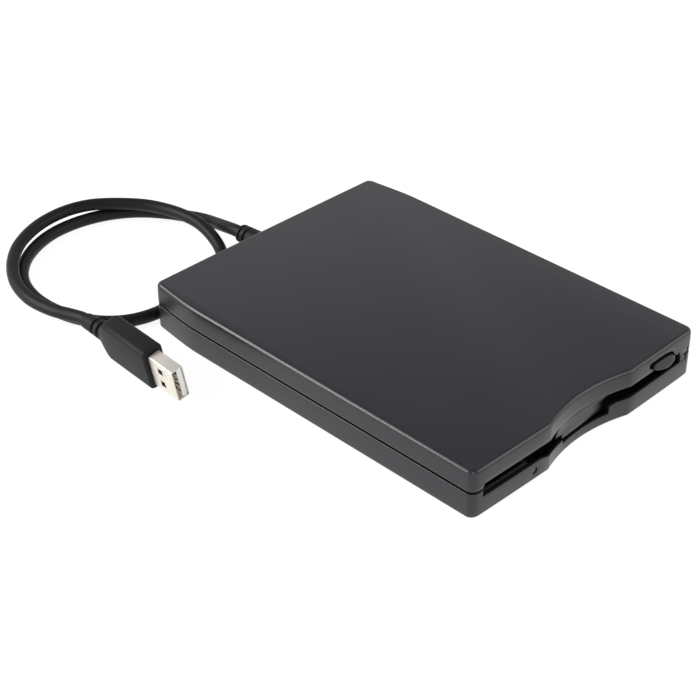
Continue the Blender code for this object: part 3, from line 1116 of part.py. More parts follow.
def make_carriage(plastic, ceramic, steel, brass):
    origin = (DISK_CENTRE_X, HEAD_Y, lift(DECK))
    carriage = box(
        "head_carriage", (CARRIAGE_LOW_X, CARRIAGE_FRONT_Y, DECK),
        (CARRIAGE_HIGH_X, CARRIAGE_REAR_Y, CARRIAGE_TOP), plastic, origin,
    )
    tower_front = CARRIAGE_REAR_Y - CARRIAGE_TOWER_DEPTH
    cut(carriage, box(
        "carriage_tower", (CARRIAGE_LOW_X, tower_front, CARRIAGE_TOP - CARRIAGE_THICKNESS / 2),
        (CARRIAGE_HIGH_X, CARRIAGE_REAR_Y, CARRIAGE_TOWER_TOP), cutter=True,
    ), "UNION")
    cut(carriage, box(
        "carriage_bushing", (ROD_X - BUSHING_MARGIN, BUSHING_FRONT_Y, DECK),
        (CARRIAGE_LOW_X + SMALL_OVERRUN, BUSHING_REAR_Y, BUSHING_TOP), cutter=True,
    ), "UNION")
    cut(carriage, box(
        "carriage_follower", (CARRIAGE_HIGH_X - SMALL_OVERRUN, tower_front, FOLLOWER_LOW),
        (STEPPER_X + FOLLOWER_MARGIN, tower_front + FOLLOWER_DEPTH, FOLLOWER_HIGH), cutter=True,
    ), "UNION")
    cut(carriage, rod(
        "bushing_bore", (ROD_X, BUSHING_FRONT_Y - OVERRUN, ROD_HEIGHT),
        ROD_RADIUS + RUNNING, BUSHING_DEPTH + 2 * OVERRUN, "Y", cutter=True,
    ))
    cut(carriage, rod(
        "follower_bore", (STEPPER_X, tower_front - OVERRUN, STEPPER_HEIGHT),
        SCREW_RADIUS + SCREW_PLAY, FOLLOWER_DEPTH + 2 * OVERRUN, "Y", cutter=True,
    ))

    half = HEAD_SIZE / 2
    box(
        "lower_head", (DISK_CENTRE_X - half, HEAD_Y - half, CARRIAGE_TOP + GAP),
        (DISK_CENTRE_X + half, HEAD_Y + half, CARRIAGE_TOP + GAP + LOWER_HEAD_HEIGHT), ceramic, origin,
    )
    arm_low = ARM_AXIS_HEIGHT - ARM_THICKNESS / 2
    pivot = (DISK_CENTRE_X, ARM_AXIS_Y, lift(ARM_AXIS_HEIGHT))
    arm = box(
        "upper_arm", (DISK_CENTRE_X - ARM_WIDTH / 2, HEAD_Y - half - SMALL_OVERRUN, arm_low),
        (DISK_CENTRE_X + ARM_WIDTH / 2, ARM_AXIS_Y + ARM_TAIL, arm_low + ARM_THICKNESS), plastic, pivot,
    )
    round_edges(arm, ARM_THICKNESS / 4, 1)
    box(
        "upper_head", (DISK_CENTRE_X - half, HEAD_Y - half, arm_low - GAP - UPPER_HEAD_HEIGHT),
        (DISK_CENTRE_X + half, HEAD_Y + half, arm_low - GAP), ceramic, pivot,
    )

    rod("guide_rod", (ROD_X, ROD_FRONT_Y, ROD_HEIGHT), ROD_RADIUS, ROD_REAR_Y - ROD_FRONT_Y, "Y",
        steel)
    for name, y in (("front", ROD_FRONT_Y - GAP), ("rear", ROD_REAR_Y + GAP - CLIP_DEPTH)):
        clip = box(
            f"rod_clip_{name}", (ROD_X - CLIP_WIDTH / 2, y, DECK),
            (ROD_X + CLIP_WIDTH / 2, y + CLIP_DEPTH, CLIP_TOP), plastic,
        )
        shift = CLIP_END_WALL if name == "front" else -CLIP_END_WALL
        bore = rod(f"clip_bore_{name}", (ROD_X, y + shift, ROD_HEIGHT), ROD_RADIUS + GAP,
                   CLIP_DEPTH, "Y", cutter=True)
        cut(clip, bore)

    profile = [(0.0, SCREW_LENGTH)]
    turns = round((SCREW_LENGTH - 2 * SCREW_THREAD_PITCH) / SCREW_THREAD_PITCH)
    profile.append((SCREW_ROOT_RADIUS, SCREW_LENGTH))
    for index in range(turns):
        top = SCREW_LENGTH - SCREW_THREAD_PITCH * (index + 1)
        profile += [
            (SCREW_ROOT_RADIUS, top), (SCREW_RADIUS, top - SCREW_THREAD_PITCH * THREAD_FLANK_SHARE),
            (SCREW_RADIUS, top - SCREW_THREAD_PITCH * THREAD_CREST_SHARE),
        ]
    profile += [(SCREW_ROOT_RADIUS, SCREW_THREAD_PITCH * THREAD_FLANK_SHARE),
                (SCREW_ROOT_RADIUS, 0.0), (0.0, 0.0)]
    origin = (STEPPER_X, SCREW_FRONT_Y, lift(STEPPER_HEIGHT))
    turned("lead_screw", profile, Matrix.Translation(origin) @ AXIS_TURNS["Y"], brass,
           SMALL_ROUND_STEPS, origin)


def make_stepper(steel, sheet):
    at = (STEPPER_X, BRACKET_REAR_Y + GAP, lift(STEPPER_HEIGHT))
    edge = STEPPER_EDGE
    profile = [
        (0.0, STEPPER_LENGTH), (STEPPER_RADIUS - edge, STEPPER_LENGTH),
        (STEPPER_RADIUS, STEPPER_LENGTH - edge), (STEPPER_RADIUS, edge),
        (STEPPER_RADIUS - edge, 0.0), (0.0, 0.0),
    ]
    turned("stepper_motor", profile, Matrix.Translation(at) @ AXIS_TURNS["Y"], steel)
    left, right = STEPPER_X - BRACKET_WIDTH / 2, STEPPER_X + BRACKET_WIDTH / 2
    bracket = box(
        "stepper_bracket", (left, BRACKET_FRONT_Y, DECK), (right, BRACKET_REAR_Y, BRACKET_HIGH), sheet,
    )
    cut(bracket, box(
        "bracket_inside",
        (left - OVERRUN, BRACKET_FRONT_Y + BRACKET_SHEET, DECK + BRACKET_SHEET),
        (right + OVERRUN, BRACKET_REAR_Y - BRACKET_SHEET, BRACKET_HIGH + OVERRUN), cutter=True,
    ))
    cut(bracket, rod(
        "bracket_bore", (STEPPER_X, BRACKET_FRONT_Y - OVERRUN, STEPPER_HEIGHT), SCREW_RADIUS + GAP,
        BRACKET_REAR_Y - BRACKET_FRONT_Y + 2 * OVERRUN, "Y", cutter=True,
    ))


def make_lever(sheet, steel):
    pivot = (LEVER_PIVOT_X, LEVER_PIVOT_Y, lift(LEVER_HEIGHT))
    half = LEVER_WIDTH / 2
    shape = arc(0.0, 0.0, half, pi / 2, 3 * pi / 2, CORNER_STEPS)
    shape += arc(LEVER_LENGTH, 0.0, half * LEVER_TIP_SHARE, -pi / 2, pi / 2, CORNER_STEPS)
    lever = prism("shutter_lever", [shape], 0.0, LEVER_THICKNESS, sheet)
    lever.location = pivot
    bpy.context.view_layer.update()
    cut(lever, rod(
        "lever_bore", (LEVER_PIVOT_X, LEVER_PIVOT_Y, LEVER_HEIGHT - OVERRUN), POST_RADIUS + RUNNING,
        LEVER_THICKNESS + 2 * OVERRUN, "Z", cutter=True,
    ))
    tip = rod(
        "lever_tip", (LEVER_PIVOT_X + LEVER_LENGTH, LEVER_PIVOT_Y, LEVER_TIP_LOW), LEVER_TIP_RADIUS,
        LEVER_HEIGHT + LEVER_THICKNESS / 2 - LEVER_TIP_LOW, "Z", cutter=True,
    )
    cut(lever, tip, "UNION")
    collar = LEVER_HEIGHT - RUNNING
    profile = [
        (0.0, POST_TOP), (POST_RADIUS, POST_TOP), (POST_RADIUS, collar), (POST_RADIUS + GAP * 2, collar),
        (POST_RADIUS + GAP * 2, DECK), (0.0, DECK),
    ]
    at = Matrix.Translation((LEVER_PIVOT_X, LEVER_PIVOT_Y, lift(0.0)))
    turned("lever_post", profile, at, steel, SMALL_ROUND_STEPS)


def block_on(name, x, y, width, depth, low, height, finish):
    """A block centred at X and Y that stands a seating gap above a height."""
    return box(
        name, (x - width / 2, y - depth / 2, low + GAP), (x + width / 2, y + depth / 2, low + GAP + height),
        finish,
    )


def make_electronics(board, usb_board, black, can, cream, film):
    top = DECK + BOARD_THICKNESS
    box(
        "main_board", (MAIN_BOARD_LEFT, MAIN_BOARD_FRONT_Y, DECK),
        (MAIN_BOARD_RIGHT, MAIN_BOARD_REAR_Y, top), board,
    )
    x = (MAIN_BOARD_LEFT + MAIN_BOARD_RIGHT) / 2
    block_on("controller_chip", x, CONTROLLER_Y, CHIP_SIZE, CHIP_SIZE, top, CHIP_HEIGHT, black)
    block_on("driver_chip", x, DRIVER_Y, DRIVER_SIZE, CHIP_SIZE, top, CHIP_HEIGHT, black)
    box(
        "usb_board", (USB_BOARD_LEFT, USB_BOARD_FRONT_Y, USB_BOARD_LOW),
        (USB_BOARD_RIGHT, USB_BOARD_FRONT_Y + USB_BOARD_LENGTH, USB_BOARD_TOP), usb_board,
    )
    y = USB_BOARD_FRONT_Y + USB_BOARD_LENGTH / 2
    block_on("bridge_chip", BRIDGE_CHIP_X, y, BRIDGE_CHIP_SIZE, BRIDGE_CHIP_SIZE, USB_BOARD_TOP, CHIP_HEIGHT,
             black)
    crystal = block_on("crystal", CRYSTAL_X, y, CRYSTAL_LENGTH, CRYSTAL_WIDTH, USB_BOARD_TOP, CRYSTAL_HEIGHT,
                       can)
    round_edges(crystal, CRYSTAL_HEIGHT / 4, 2)
    block_on("cable_connector", CONNECTOR_X, y, CONNECTOR_LENGTH, CONNECTOR_DEPTH, USB_BOARD_TOP,
             CONNECTOR_HEIGHT, cream)
    flex_low = top + GAP
    box(
        "flat_flex", (FLEX_X - FLEX_WIDTH / 2, FLEX_FRONT_Y, flex_low),
        (FLEX_X + FLEX_WIDTH / 2, FLEX_REAR_Y, flex_low + FLEX_THICKNESS), film,
    )
    for name, x in (("write_protect_switch", PROTECT_SWITCH_X), ("disk_in_switch", DISK_SWITCH_X)):
        switch = block_on(name, x, SWITCH_Y, SWITCH_WIDTH, SWITCH_DEPTH, CHASSIS_FLOOR_TOP,
                          SWITCH_HEIGHT, black)
        plunger = rod(f"{name}_plunger", (x, SWITCH_Y, DECK + SWITCH_HEIGHT / 2), SWITCH_PLUNGER_RADIUS,
                      SWITCH_HEIGHT / 2 + SWITCH_PLUNGER, "Z", cutter=True)
        cut(switch, plunger, "UNION")


def make_light_pipe(finish):
    start = FRONT_Y + PIPE_SETBACK
    rod("light_pipe", (PIPE_X, start, PIPE_HEIGHT), PIPE_RADIUS, CHASSIS_FRONT_Y - GAP - start, "Y",
        finish)


def grooved(profile_end, radius, tip_radius, length, starts, width, depth):
    """The outer side of a strain relief from its tip back, with a groove above each start."""
    side = [(0.0, length), (tip_radius, length)]

    def radius_at(height):
        return tip_radius + (radius - tip_radius) * (length - height) / length

    flank = width * GROOVE_FLANK_SHARE
    for low in starts:
        high = low + width
        side += [
            (radius_at(high), high), (radius_at(high) - depth, high - flank),
            (radius_at(high) - depth, low + flank), (radius_at(low), low),
        ]
    return side + profile_end


def make_strain_relief(rubber, copper):
    wall_inner = REAR_Y - CAVITY_INSET
    reach = REAR_Y - wall_inner + GAP
    body = RELIEF_RADIUS
    flange = RELIEF_FLANGE_THICKNESS
    base = reach + flange
    length = base + RELIEF_LENGTH
    outer_groove = length - RELIEF_TIP_LAND - RELIEF_GROOVE_WIDTH
    profile = grooved(
        [(body, base), (body, flange), (RELIEF_FLANGE_RADIUS, flange), (RELIEF_FLANGE_RADIUS, 0.0),
         (0.0, 0.0)],
        body, RELIEF_TIP_RADIUS, length, (outer_groove, outer_groove - RELIEF_GROOVE_PITCH),
        RELIEF_GROOVE_WIDTH, RELIEF_GROOVE_DEPTH,
    )
    at = Matrix.Translation((0.0, REAR_Y - base, lift(RELIEF_HEIGHT))) @ AXIS_TURNS["Y"]
    turned("strain_relief", profile, at, rubber)
    y = USB_BOARD_FRONT_Y + USB_BOARD_LENGTH / 2
    low = USB_BOARD_TOP + GAP + CONNECTOR_HEIGHT + GAP
    start = Vector((0.0, REAR_Y - base - GAP, lift(RELIEF_HEIGHT)))
    end = Vector((CONNECTOR_X, y, lift(low)))
    route = [start, Vector((start.x, (start.y + end.y) / 2, start.z)),
             Vector((end.x, end.y, (start.z + end.z) / 2)), end]
    points, _ = spline_points(route, BUNDLE_RADIUS)
    tube("lead_bundle", points, BUNDLE_RADIUS, copper)


def cord_route():
    """The lead's route from the strain relief's tip; the drop behind it starts at the exit."""
    exit_height = lift(RELIEF_HEIGHT)
    fall = exit_height / LEAD_DRAWN_EXIT
    route = [(0.0, REAR_Y + RELIEF_LENGTH + GAP, exit_height)]
    for index, (x, y, z) in enumerate(CORD_ROUTE + [CORD_END]):
        if index < LEAD_FALLING_POINTS:
            z = max(z * fall, CORD_RADIUS)
        route.append((x, y + LEAD_SHIFT_Y, z))
    return route


def make_cord(rubber):
    points, length = spline_points(cord_route(), CORD_SPACING)
    tube("cord", points, CORD_RADIUS, rubber, 2)
    print(f"cord length {length * 1000:.1f} mm over {len(points)} points")


def plug_frame():
    """Plug axes: X across its thickness, Y across its width, Z from the mouth to the lead."""
    upright = Matrix.Rotation(-pi / 2, 4, "X") @ Matrix.Rotation(pi, 4, "Z")
    turn = (
        Matrix.Rotation(PLUG_YAW, 4, "Z") @ Matrix.Rotation(PLUG_PITCH, 4, "X")
        @ Matrix.Rotation(-PLUG_ROLL, 4, "Y")
    )
    shift = Matrix.Translation((0.0, LEAD_SHIFT_Y, 0.0))
    return shift @ Matrix.Translation(PLUG_MOUTH) @ turn @ upright


def round_section(width, height, corner, level, shift=0.0):
    """A rounded rectangle across X and Y at a level, as a ring of points."""
    corner = min(corner, width / 2 - MERGE, height / 2 - MERGE)
    x, y = width / 2 - corner, height / 2 - corner
    ring = []
    for centre_x, centre_y, start in (
        (x, y, 0.0), (-x, y, pi / 2), (-x, -y, pi), (x, -y, 3 * pi / 2),
    ):
        ring += arc(centre_x, centre_y, corner, start, start + pi / 2, SECTION_STEPS)
    return [(a, b + shift, level) for a, b in ring]


def loft(name, sections, matrix, finish):
    """A closed body through rings of points that all have the same count."""
    form = bmesh.new()
    rings = [[form.verts.new(point) for point in section] for section in sections]
    for ring, after in zip(rings, rings[1:]):
        count = len(ring)
        for index in range(count):
            other = (index + 1) % count
            form.faces.new((ring[index], ring[other], after[other], after[index]))
    form.faces.new(rings[0])
    form.faces.new(rings[-1])
    bmesh.ops.remove_doubles(form, verts=form.verts, dist=MERGE)
    bmesh.ops.recalc_face_normals(form, faces=form.faces)
    mesh = bpy.data.meshes.new(name)
    form.to_mesh(mesh)
    form.free()
    mesh.transform(matrix)
    smooth(mesh)
    return place(name, mesh, finish)


def plug_box(name, low, high, matrix, finish=None, cutter=False):
    form = bmesh.new()
    bmesh.ops.create_cube(form, size=1.0)
    low, high = Vector(low), Vector(high)
    for corner in form.verts:
        corner.co = Vector(a * b + c for a, b, c in zip(corner.co, high - low, (low + high) / 2))
    mesh = bpy.data.meshes.new(name)
    form.to_mesh(mesh)
    form.free()
    mesh.transform(matrix)
    return place(name, mesh, finish, cutter=cutter)


def make_plug(rubber, steel, cream, gold):
    frame = plug_frame()
    width, thick = PLUG_BODY_WIDTH, PLUG_BODY_THICKNESS
    front = PLUG_SHELL_LENGTH + GAP
    rim = PLUG_BODY_RIM
    shoulder = front + PLUG_BODY_LENGTH
    neck = 2 * PLUG_NECK_RADIUS
    sections = [
        round_section(thick - rim, width - rim, PLUG_BODY_CORNER - rim / 2, front),
        round_section(thick, width, PLUG_BODY_CORNER, front + rim / 2),
        round_section(thick, width, PLUG_BODY_CORNER, shoulder),
    ]
    for index in range(1, SHOULDER_STEPS + 1):
        share = index / SHOULDER_STEPS
        ease = 1.0 - (1.0 - share * share) ** 0.5
        sections.append(round_section(
            thick + (neck - thick) * ease, width + (neck - width) * ease,
            PLUG_BODY_CORNER + (PLUG_NECK_RADIUS - PLUG_BODY_CORNER) * share,
            shoulder + PLUG_SHOULDER_LENGTH * share, -PLUG_NECK_DROP * share,
        ))
    loft("plug_overmould", sections, frame, rubber)

    start = Vector((0.0, -PLUG_NECK_DROP, shoulder + PLUG_SHOULDER_LENGTH + GAP))
    start = frame @ start
    before, end = (Vector(point) for point in cord_route()[-2:])
    end = end - (before - end).normalized() * GAP
    axis = end - start
    turn = Vector((0.0, 0.0, 1.0)).rotation_difference(axis).to_matrix().to_4x4()
    inner_groove = PLUG_RELIEF_ROOT_LAND
    profile = grooved(
        [(PLUG_NECK_RADIUS, 0.0), (0.0, 0.0)], PLUG_NECK_RADIUS, PLUG_RELIEF_TIP_RADIUS, axis.length,
        (inner_groove + PLUG_RELIEF_GROOVE_PITCH, inner_groove), PLUG_RELIEF_GROOVE_WIDTH,
        PLUG_RELIEF_GROOVE_DEPTH,
    )
    turned("plug_relief", profile, Matrix.Translation(start) @ turn, rubber)

    half_thick, half_width = PLUG_SHELL_THICKNESS / 2, PLUG_SHELL_WIDTH / 2
    sheet = PLUG_SHELL_SHEET
    shell = plug_box(
        "plug_shell", (-half_thick, -half_width, 0.0), (half_thick, half_width, PLUG_SHELL_LENGTH),
        frame, steel,
    )
    inside = plug_box(
        "plug_shell_inside", (sheet - half_thick, sheet - half_width, -SMALL_OVERRUN),
        (half_thick - sheet, half_width - sheet, PLUG_SHELL_LENGTH - sheet), frame, cutter=True,
    )
    cut(shell, inside)
    half = PLUG_HOLE_SIZE / 2
    for index, side in enumerate((-1, 1)):
        y = side * PLUG_HOLE_SPREAD / 2
        hole = plug_box(
            f"plug_hole_{index}", (-half_thick - OVERRUN, y - half, PLUG_HOLE_FROM_MOUTH - half),
            (half_thick + OVERRUN, y + half, PLUG_HOLE_FROM_MOUTH + half), frame, cutter=True,
        )
        cut(shell, hole)
    tongue_x = sheet + GAP - half_thick
    half_tongue = PLUG_TONGUE_WIDTH / 2
    face_x = tongue_x + PLUG_TONGUE_THICKNESS
    plug_box(
        "plug_tongue", (tongue_x, -half_tongue, PLUG_TONGUE_SETBACK),
        (face_x, half_tongue, PLUG_SHELL_LENGTH - sheet - GAP), frame, cream,
    )
    outer, inner = PLUG_CONTACT_OUTER_PLACE, PLUG_CONTACT_INNER_PLACE
    low_x = face_x + GAP
    high_x = low_x + PLUG_CONTACT_THICKNESS
    near = PLUG_CONTACT_SETBACK
    wide = PLUG_CONTACT_WIDTH / 2
    for index, y in enumerate((-outer, -inner, inner, outer)):
        plug_box(
            f"plug_contact_{index + 1}", (low_x, y - wide, near),
            (high_x, y + wide, near + PLUG_CONTACT_LENGTH), frame, gold,
        )


def main():
    global parts, cutters
    clear_scene()
    parts = new_collection("floppy_drive")
    cutters = new_collection("cutters")
    shell_black = surface("shell_black", (0.055, 0.056, 0.062), 0.42)
    door_black = surface("door_black", (0.075, 0.077, 0.080), 0.45)
    button_black = surface("button_black", (0.020, 0.021, 0.023), 0.38)
    rubber = surface("rubber", (0.028, 0.030, 0.031), 0.60)
    foot_rubber = surface("foot_rubber", (0.020, 0.020, 0.021), 0.80)
    sheet_steel = surface("sheet_steel", (0.56, 0.57, 0.58), 0.35, 1.0)
    steel = surface("steel", (0.60, 0.60, 0.61), 0.25, 1.0)
    plated = surface("plated_shell", (0.80, 0.74, 0.64), 0.22, 1.0)
    brass = surface("brass", (0.72, 0.55, 0.28), 0.30, 1.0)
    gold = surface("gold", (0.90, 0.70, 0.35), 0.25, 1.0)
    white = surface("white_plastic", (0.80, 0.79, 0.76), 0.45)
    inner_plastic = surface("inner_plastic", (0.035, 0.036, 0.038), 0.50)
    chip = surface("chip_black", (0.018, 0.018, 0.020), 0.50)
    board = surface("board_green", (0.020, 0.10, 0.045), 0.50)
    ceramic = surface("ceramic", (0.55, 0.52, 0.46), 0.30)
    film = surface("flex_film", (0.42, 0.24, 0.08), 0.35)
    clear = surface("light_pipe", (0.62, 0.66, 0.60), 0.15)

    make_top_cover(shell_black)
    make_bottom_cover(shell_black)
    make_feet(foot_rubber)
    make_screws(steel)
    make_door(door_black, inner_plastic)
    make_eject(button_black, sheet_steel, steel)
    make_holder(sheet_steel)
    make_chassis(sheet_steel, sheet_steel)
    make_spindle(board, steel, brass)
    make_carriage(inner_plastic, ceramic, steel, brass)
    make_stepper(steel, sheet_steel)
    make_lever(sheet_steel, steel)
    make_electronics(board, board, chip, steel, white, film)
    make_light_pipe(clear)
    make_strain_relief(rubber, white)
    make_cord(rubber)
    make_plug(rubber, plated, white, gold)


main()
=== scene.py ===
"""Looks of the slim external floppy disk drive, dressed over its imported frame."""

from math import cos, pi, radians, sin

import bmesh
import bpy
from mathutils import Matrix, Vector
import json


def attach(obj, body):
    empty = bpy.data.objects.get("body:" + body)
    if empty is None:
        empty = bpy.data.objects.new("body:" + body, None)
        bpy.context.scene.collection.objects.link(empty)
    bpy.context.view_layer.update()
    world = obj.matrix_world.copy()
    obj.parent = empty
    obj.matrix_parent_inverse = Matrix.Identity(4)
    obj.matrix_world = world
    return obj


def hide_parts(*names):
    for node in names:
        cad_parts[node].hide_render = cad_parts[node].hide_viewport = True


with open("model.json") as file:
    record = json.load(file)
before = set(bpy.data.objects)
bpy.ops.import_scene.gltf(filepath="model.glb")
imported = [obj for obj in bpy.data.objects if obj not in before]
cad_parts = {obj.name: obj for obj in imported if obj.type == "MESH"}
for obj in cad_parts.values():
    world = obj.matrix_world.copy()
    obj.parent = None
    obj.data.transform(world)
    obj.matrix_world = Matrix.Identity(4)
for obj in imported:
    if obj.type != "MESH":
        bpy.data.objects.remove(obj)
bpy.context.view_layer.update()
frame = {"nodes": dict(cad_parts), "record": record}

# Case, in metres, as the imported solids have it. LIFT is what the feet raise it by. Levels of a wall are
# pairs of inset and height. TAPER gives shares of the taper's run with shares of its inset.
LIFT = 0.0003
CASE_WIDTH = 0.104
CASE_DEPTH = 0.142
CASE_HEIGHT = 0.017
CORNER = 0.0028
FRONT_BOW = 0.0006
REAR_BOW = 0.0002
TAPER_START = 0.0485
TAPER_INSET = 0.0018
FRONT_STEPS = 8
NOTCH_STEPS = 44
CORNER_STEPS = 10
REAR_STATIONS = (0.03, 0.0, -0.03)
WALL = 0.0016
TOP_FILLET = 0.0014
TOP_EDGE = 0.00018
TOP_WALL = [(0.0, 0.0105), (0.0, 0.0130), (0.00003, 0.0144), (0.00008, 0.0156)]
BOTTOM_FILLET = 0.0011
BOTTOM_FLAT = 0.0022
BOTTOM_EDGE = 0.00028
BOTTOM_BEVEL_STEPS = 3
BOTTOM_WALL = (0.0, 0.005)
SEAM_EDGE = 0.00025
SEAM_LOW = 0.0088
SEAM_HIGH = 0.0097
SEAM_CHANNEL = (0.0004, 0.0080)
LIP_INSET = 0.00185
CAVITY_INSET = 0.00265
LIP_TOP = 0.0110
FLOOR = 0.0016
NOTCH_X = 0.0002
NOTCH_HALF = 0.0191
NOTCH_DEPTH = 0.0033
OVERRUN = 0.004
TAPER_END = CASE_DEPTH / 2 - REAR_BOW - CORNER
TAPER = [(0.0, 0.0), (0.15, 0.03), (0.35, 0.19), (0.6, 0.49), (0.8, 0.745)]

# Openings in the covers: outlines in X and Z, blocks by two corners, the round hole by its centre and
# radius, and how far each cutter runs in Y
FRONT_REACH = -0.076
TOP_REACH = -0.0625
NICK_REACH = -0.0695
BOTTOM_REACH = -0.0600
SLOT_HIGH = 0.0112
SLOT_TOP = [
    (-0.0482, 0.004), (0.0449, 0.004), (0.0449, SLOT_HIGH), (-0.0472, SLOT_HIGH), (-0.0480, 0.0092),
]
SLOT_BOTTOM = [
    (-0.0480, 0.0066), (-0.0225, 0.0066), (-0.0195, 0.0058), (-0.0106, 0.0051), (-0.0098, 0.0051),
    (-0.0098, 0.0038), (0.0119, 0.0038), (0.0119, 0.0064), (0.0140, 0.0069), (0.0486, 0.0071),
    (0.0486, 0.0150), (-0.0472, 0.0150), (-0.0472, 0.0110),
]
CORNER_NICK = (0.0487, 0.0080, 0.0492, 0.0114)
EJECT_WINDOW = [
    (0.0306, 0.0100), (0.0430, 0.0100), (0.0430, 0.0109), (0.0421, 0.0119), (0.0401, 0.0141),
    (0.0365, 0.0147), (0.0292, 0.0147), (0.0285, 0.0142), (0.0285, 0.0131), (0.0290, 0.0126),
    (0.0302, 0.0121), (0.0306, 0.0114),
]
RELIEF_HOLE = (0.0, 0.0093, 0.00455)
RELIEF_REACH = (0.060, 0.076)
LIP_WALL = 0.0009
THROAT_LOW = 0.0021
THROAT_HIGH = 0.0140
THROAT_ENDS = (-0.0474, 0.0484)
THROAT_STEPS = 60

# The covers' painted shade, a second finish that stands in for the shade behind the walls and in the slot:
# how deep behind the walls it starts, between which heights, and the slot's lower lip, by how much it
# faces up and its highest point
SHADE_DEPTH = 0.0004
SHADE_LOW = FLOOR - 0.0002
SHADE_HIGH = CASE_HEIGHT - 0.0006
LIP_FACING = 0.93
LIP_HIGH = SEAM_LOW - 0.001

# Slot trim, door and eject button. The tongue's levels are pairs of a height and a share of the way from
# the notch's curve to the tongue's own face. The button's outline is in shares of its width and height,
# and its rim in pairs of inset and depth.
TRIM_EDGE = 0.00015
FINE_EDGE = 0.00012
TAB = [(0.0454, 0.0072), (0.0480, 0.0070), (0.0480, 0.0087), (0.0470, 0.0093), (0.0454, 0.0095)]
TAB_DEPTHS = (0.0001, 0.0012)
LEDGE_BACK = 0.0022
LEDGE_ENDS = (-0.0464, -0.0262)
LEDGE = [(0.0, 0.0040), (0.0008, 0.0040), (0.0008, 0.0061), (0.0, 0.0061)]
TONGUE_LEFT = -0.0127
TONGUE_RIGHT = 0.0120
TONGUE_CURL = 0.0022
TONGUE_STEPS = 24
CURL_STEPS = 8
TONGUE_FACE = -0.0670
TONGUE_BACK = -0.0640
TONGUE_FACE_LEFT = -0.0681
TONGUE_LEVELS = [(0.01115, 0.0), (0.0102, 0.25), (0.0092, 0.62), (0.0080, 0.88), (0.0066, 1.0),
                 (0.0051, 1.0)]
TONGUE_UNDERCUT = (-0.0140, 0.0030, -0.0095, 0.0069)
FLAP = [(-0.0646, 0.0055), (-0.0638, 0.0055), (-0.0638, 0.0139), (-0.0646, 0.0139)]
FLAP_ENDS = (-0.0462, 0.0290)
FLAP_PIN = (-0.0642, 0.0134 + LIFT, 0.0007)
FLAP_PIN_ENDS = (-0.0476, 0.0304)
BUTTON_LEFT = 0.0302
BUTTON_WIDE = 0.0108
BUTTON_LOW = 0.0102
BUTTON_TALL = 0.0034
BUTTON_FRONT = -0.0724
BUTTON_BACK = -0.0691
BUTTON_LEAN = 0.0013
BUTTON_SOFT = 1.6
BUTTON_STEM = (0.0325, -0.0700, 0.0387, -0.06325)
BUTTON_STEM_LEVELS = (0.0113 + LIFT, 0.0134 + LIFT)
BUTTON_RIM = [
    (1.0, 0.0), (0.5, 0.0), (0.3, 0.00003), (0.15, 0.00013), (0.05, 0.0003), (0.0, 0.0006),
]
BUTTON_OUTLINE = [
    (0.00, 0.56), (0.07, 0.42), (0.17, 0.29), (0.29, 0.17), (0.42, 0.07), (0.55, 0.01), (0.66, 0.00),
    (0.77, 0.04), (0.87, 0.13), (0.95, 0.25), (0.99, 0.36), (1.00, 0.60), (0.97, 0.70), (0.92, 0.80),
    (0.85, 0.89), (0.76, 0.95), (0.61, 1.00), (0.46, 1.00), (0.21, 1.00), (0.09, 0.97), (0.02, 0.90),
]

# Camera
LENS = 87.30
SENSOR = 36.0
CLIP = (0.01, 20.0)
AZIMUTH = radians(-44.7838)
ELEVATION = radians(34.2113)
ROLL = radians(-0.2468)
DISTANCE = 0.5351634
AIM = (-0.024521, 0.0057715, 0.009 + LIFT)

# The lead's route, from the case's strain relief to the plug's
CORD_RADIUS = 0.0022
CORD_SPACING = 0.0016
CORD_BEVEL = 6
ROUTE_STEPS = 12
CORD_ROUTE = [
    (0.0000, 0.0843, 0.0096),
    (0.0001, 0.0885, 0.0092), (0.0016, 0.0960, 0.0071), (0.0036, 0.1040, 0.0045),
    (0.0040, 0.1110, 0.0029), (0.0022, 0.1170, 0.00225), (-0.0016, 0.1240, 0.00225),
    (-0.0074, 0.1314, 0.00225), (-0.0145, 0.1369, 0.00225), (-0.0225, 0.1404, 0.00225),
    (-0.0316, 0.1420, 0.00225), (-0.0410, 0.1414, 0.00225), (-0.0505, 0.1380, 0.00225),
    (-0.0590, 0.1322, 0.00225), (-0.0656, 0.1242, 0.00225), (-0.0694, 0.1144, 0.00225),
    (-0.0703, 0.1032, 0.00225), (-0.0682, 0.0922, 0.00225), (-0.0636, 0.0834, 0.00225),
    (-0.0566, 0.0774, 0.00225), (-0.0480, 0.0746, 0.00225), (-0.0380, 0.0748, 0.00225),
    (-0.0275, 0.0768, 0.00225), (-0.0175, 0.0798, 0.00225), (-0.0102, 0.0836, 0.0024),
    (-0.0060, 0.0890, 0.0034), (-0.0040, 0.0956, 0.0053), (-0.0032, 0.1028, 0.0068),
    (-0.0034, 0.1100, 0.0072), (-0.0048, 0.1184, 0.0071), (-0.0082, 0.1268, 0.0071),
    (-0.0142, 0.1348, 0.0070), (-0.0216, 0.1418, 0.0067), (-0.0298, 0.1453, 0.0063),
    (-0.0392, 0.1454, 0.0061), (-0.0490, 0.1422, 0.0063), (-0.0586, 0.1362, 0.0066),
    (-0.0668, 0.1276, 0.0069), (-0.0730, 0.1170, 0.0070), (-0.0758, 0.1056, 0.0070),
    (-0.0750, 0.0948, 0.0072), (-0.0727, 0.0870, 0.0076), (-0.0716, 0.0828, 0.0079),
    (-0.0714, 0.0800, 0.0080),
]

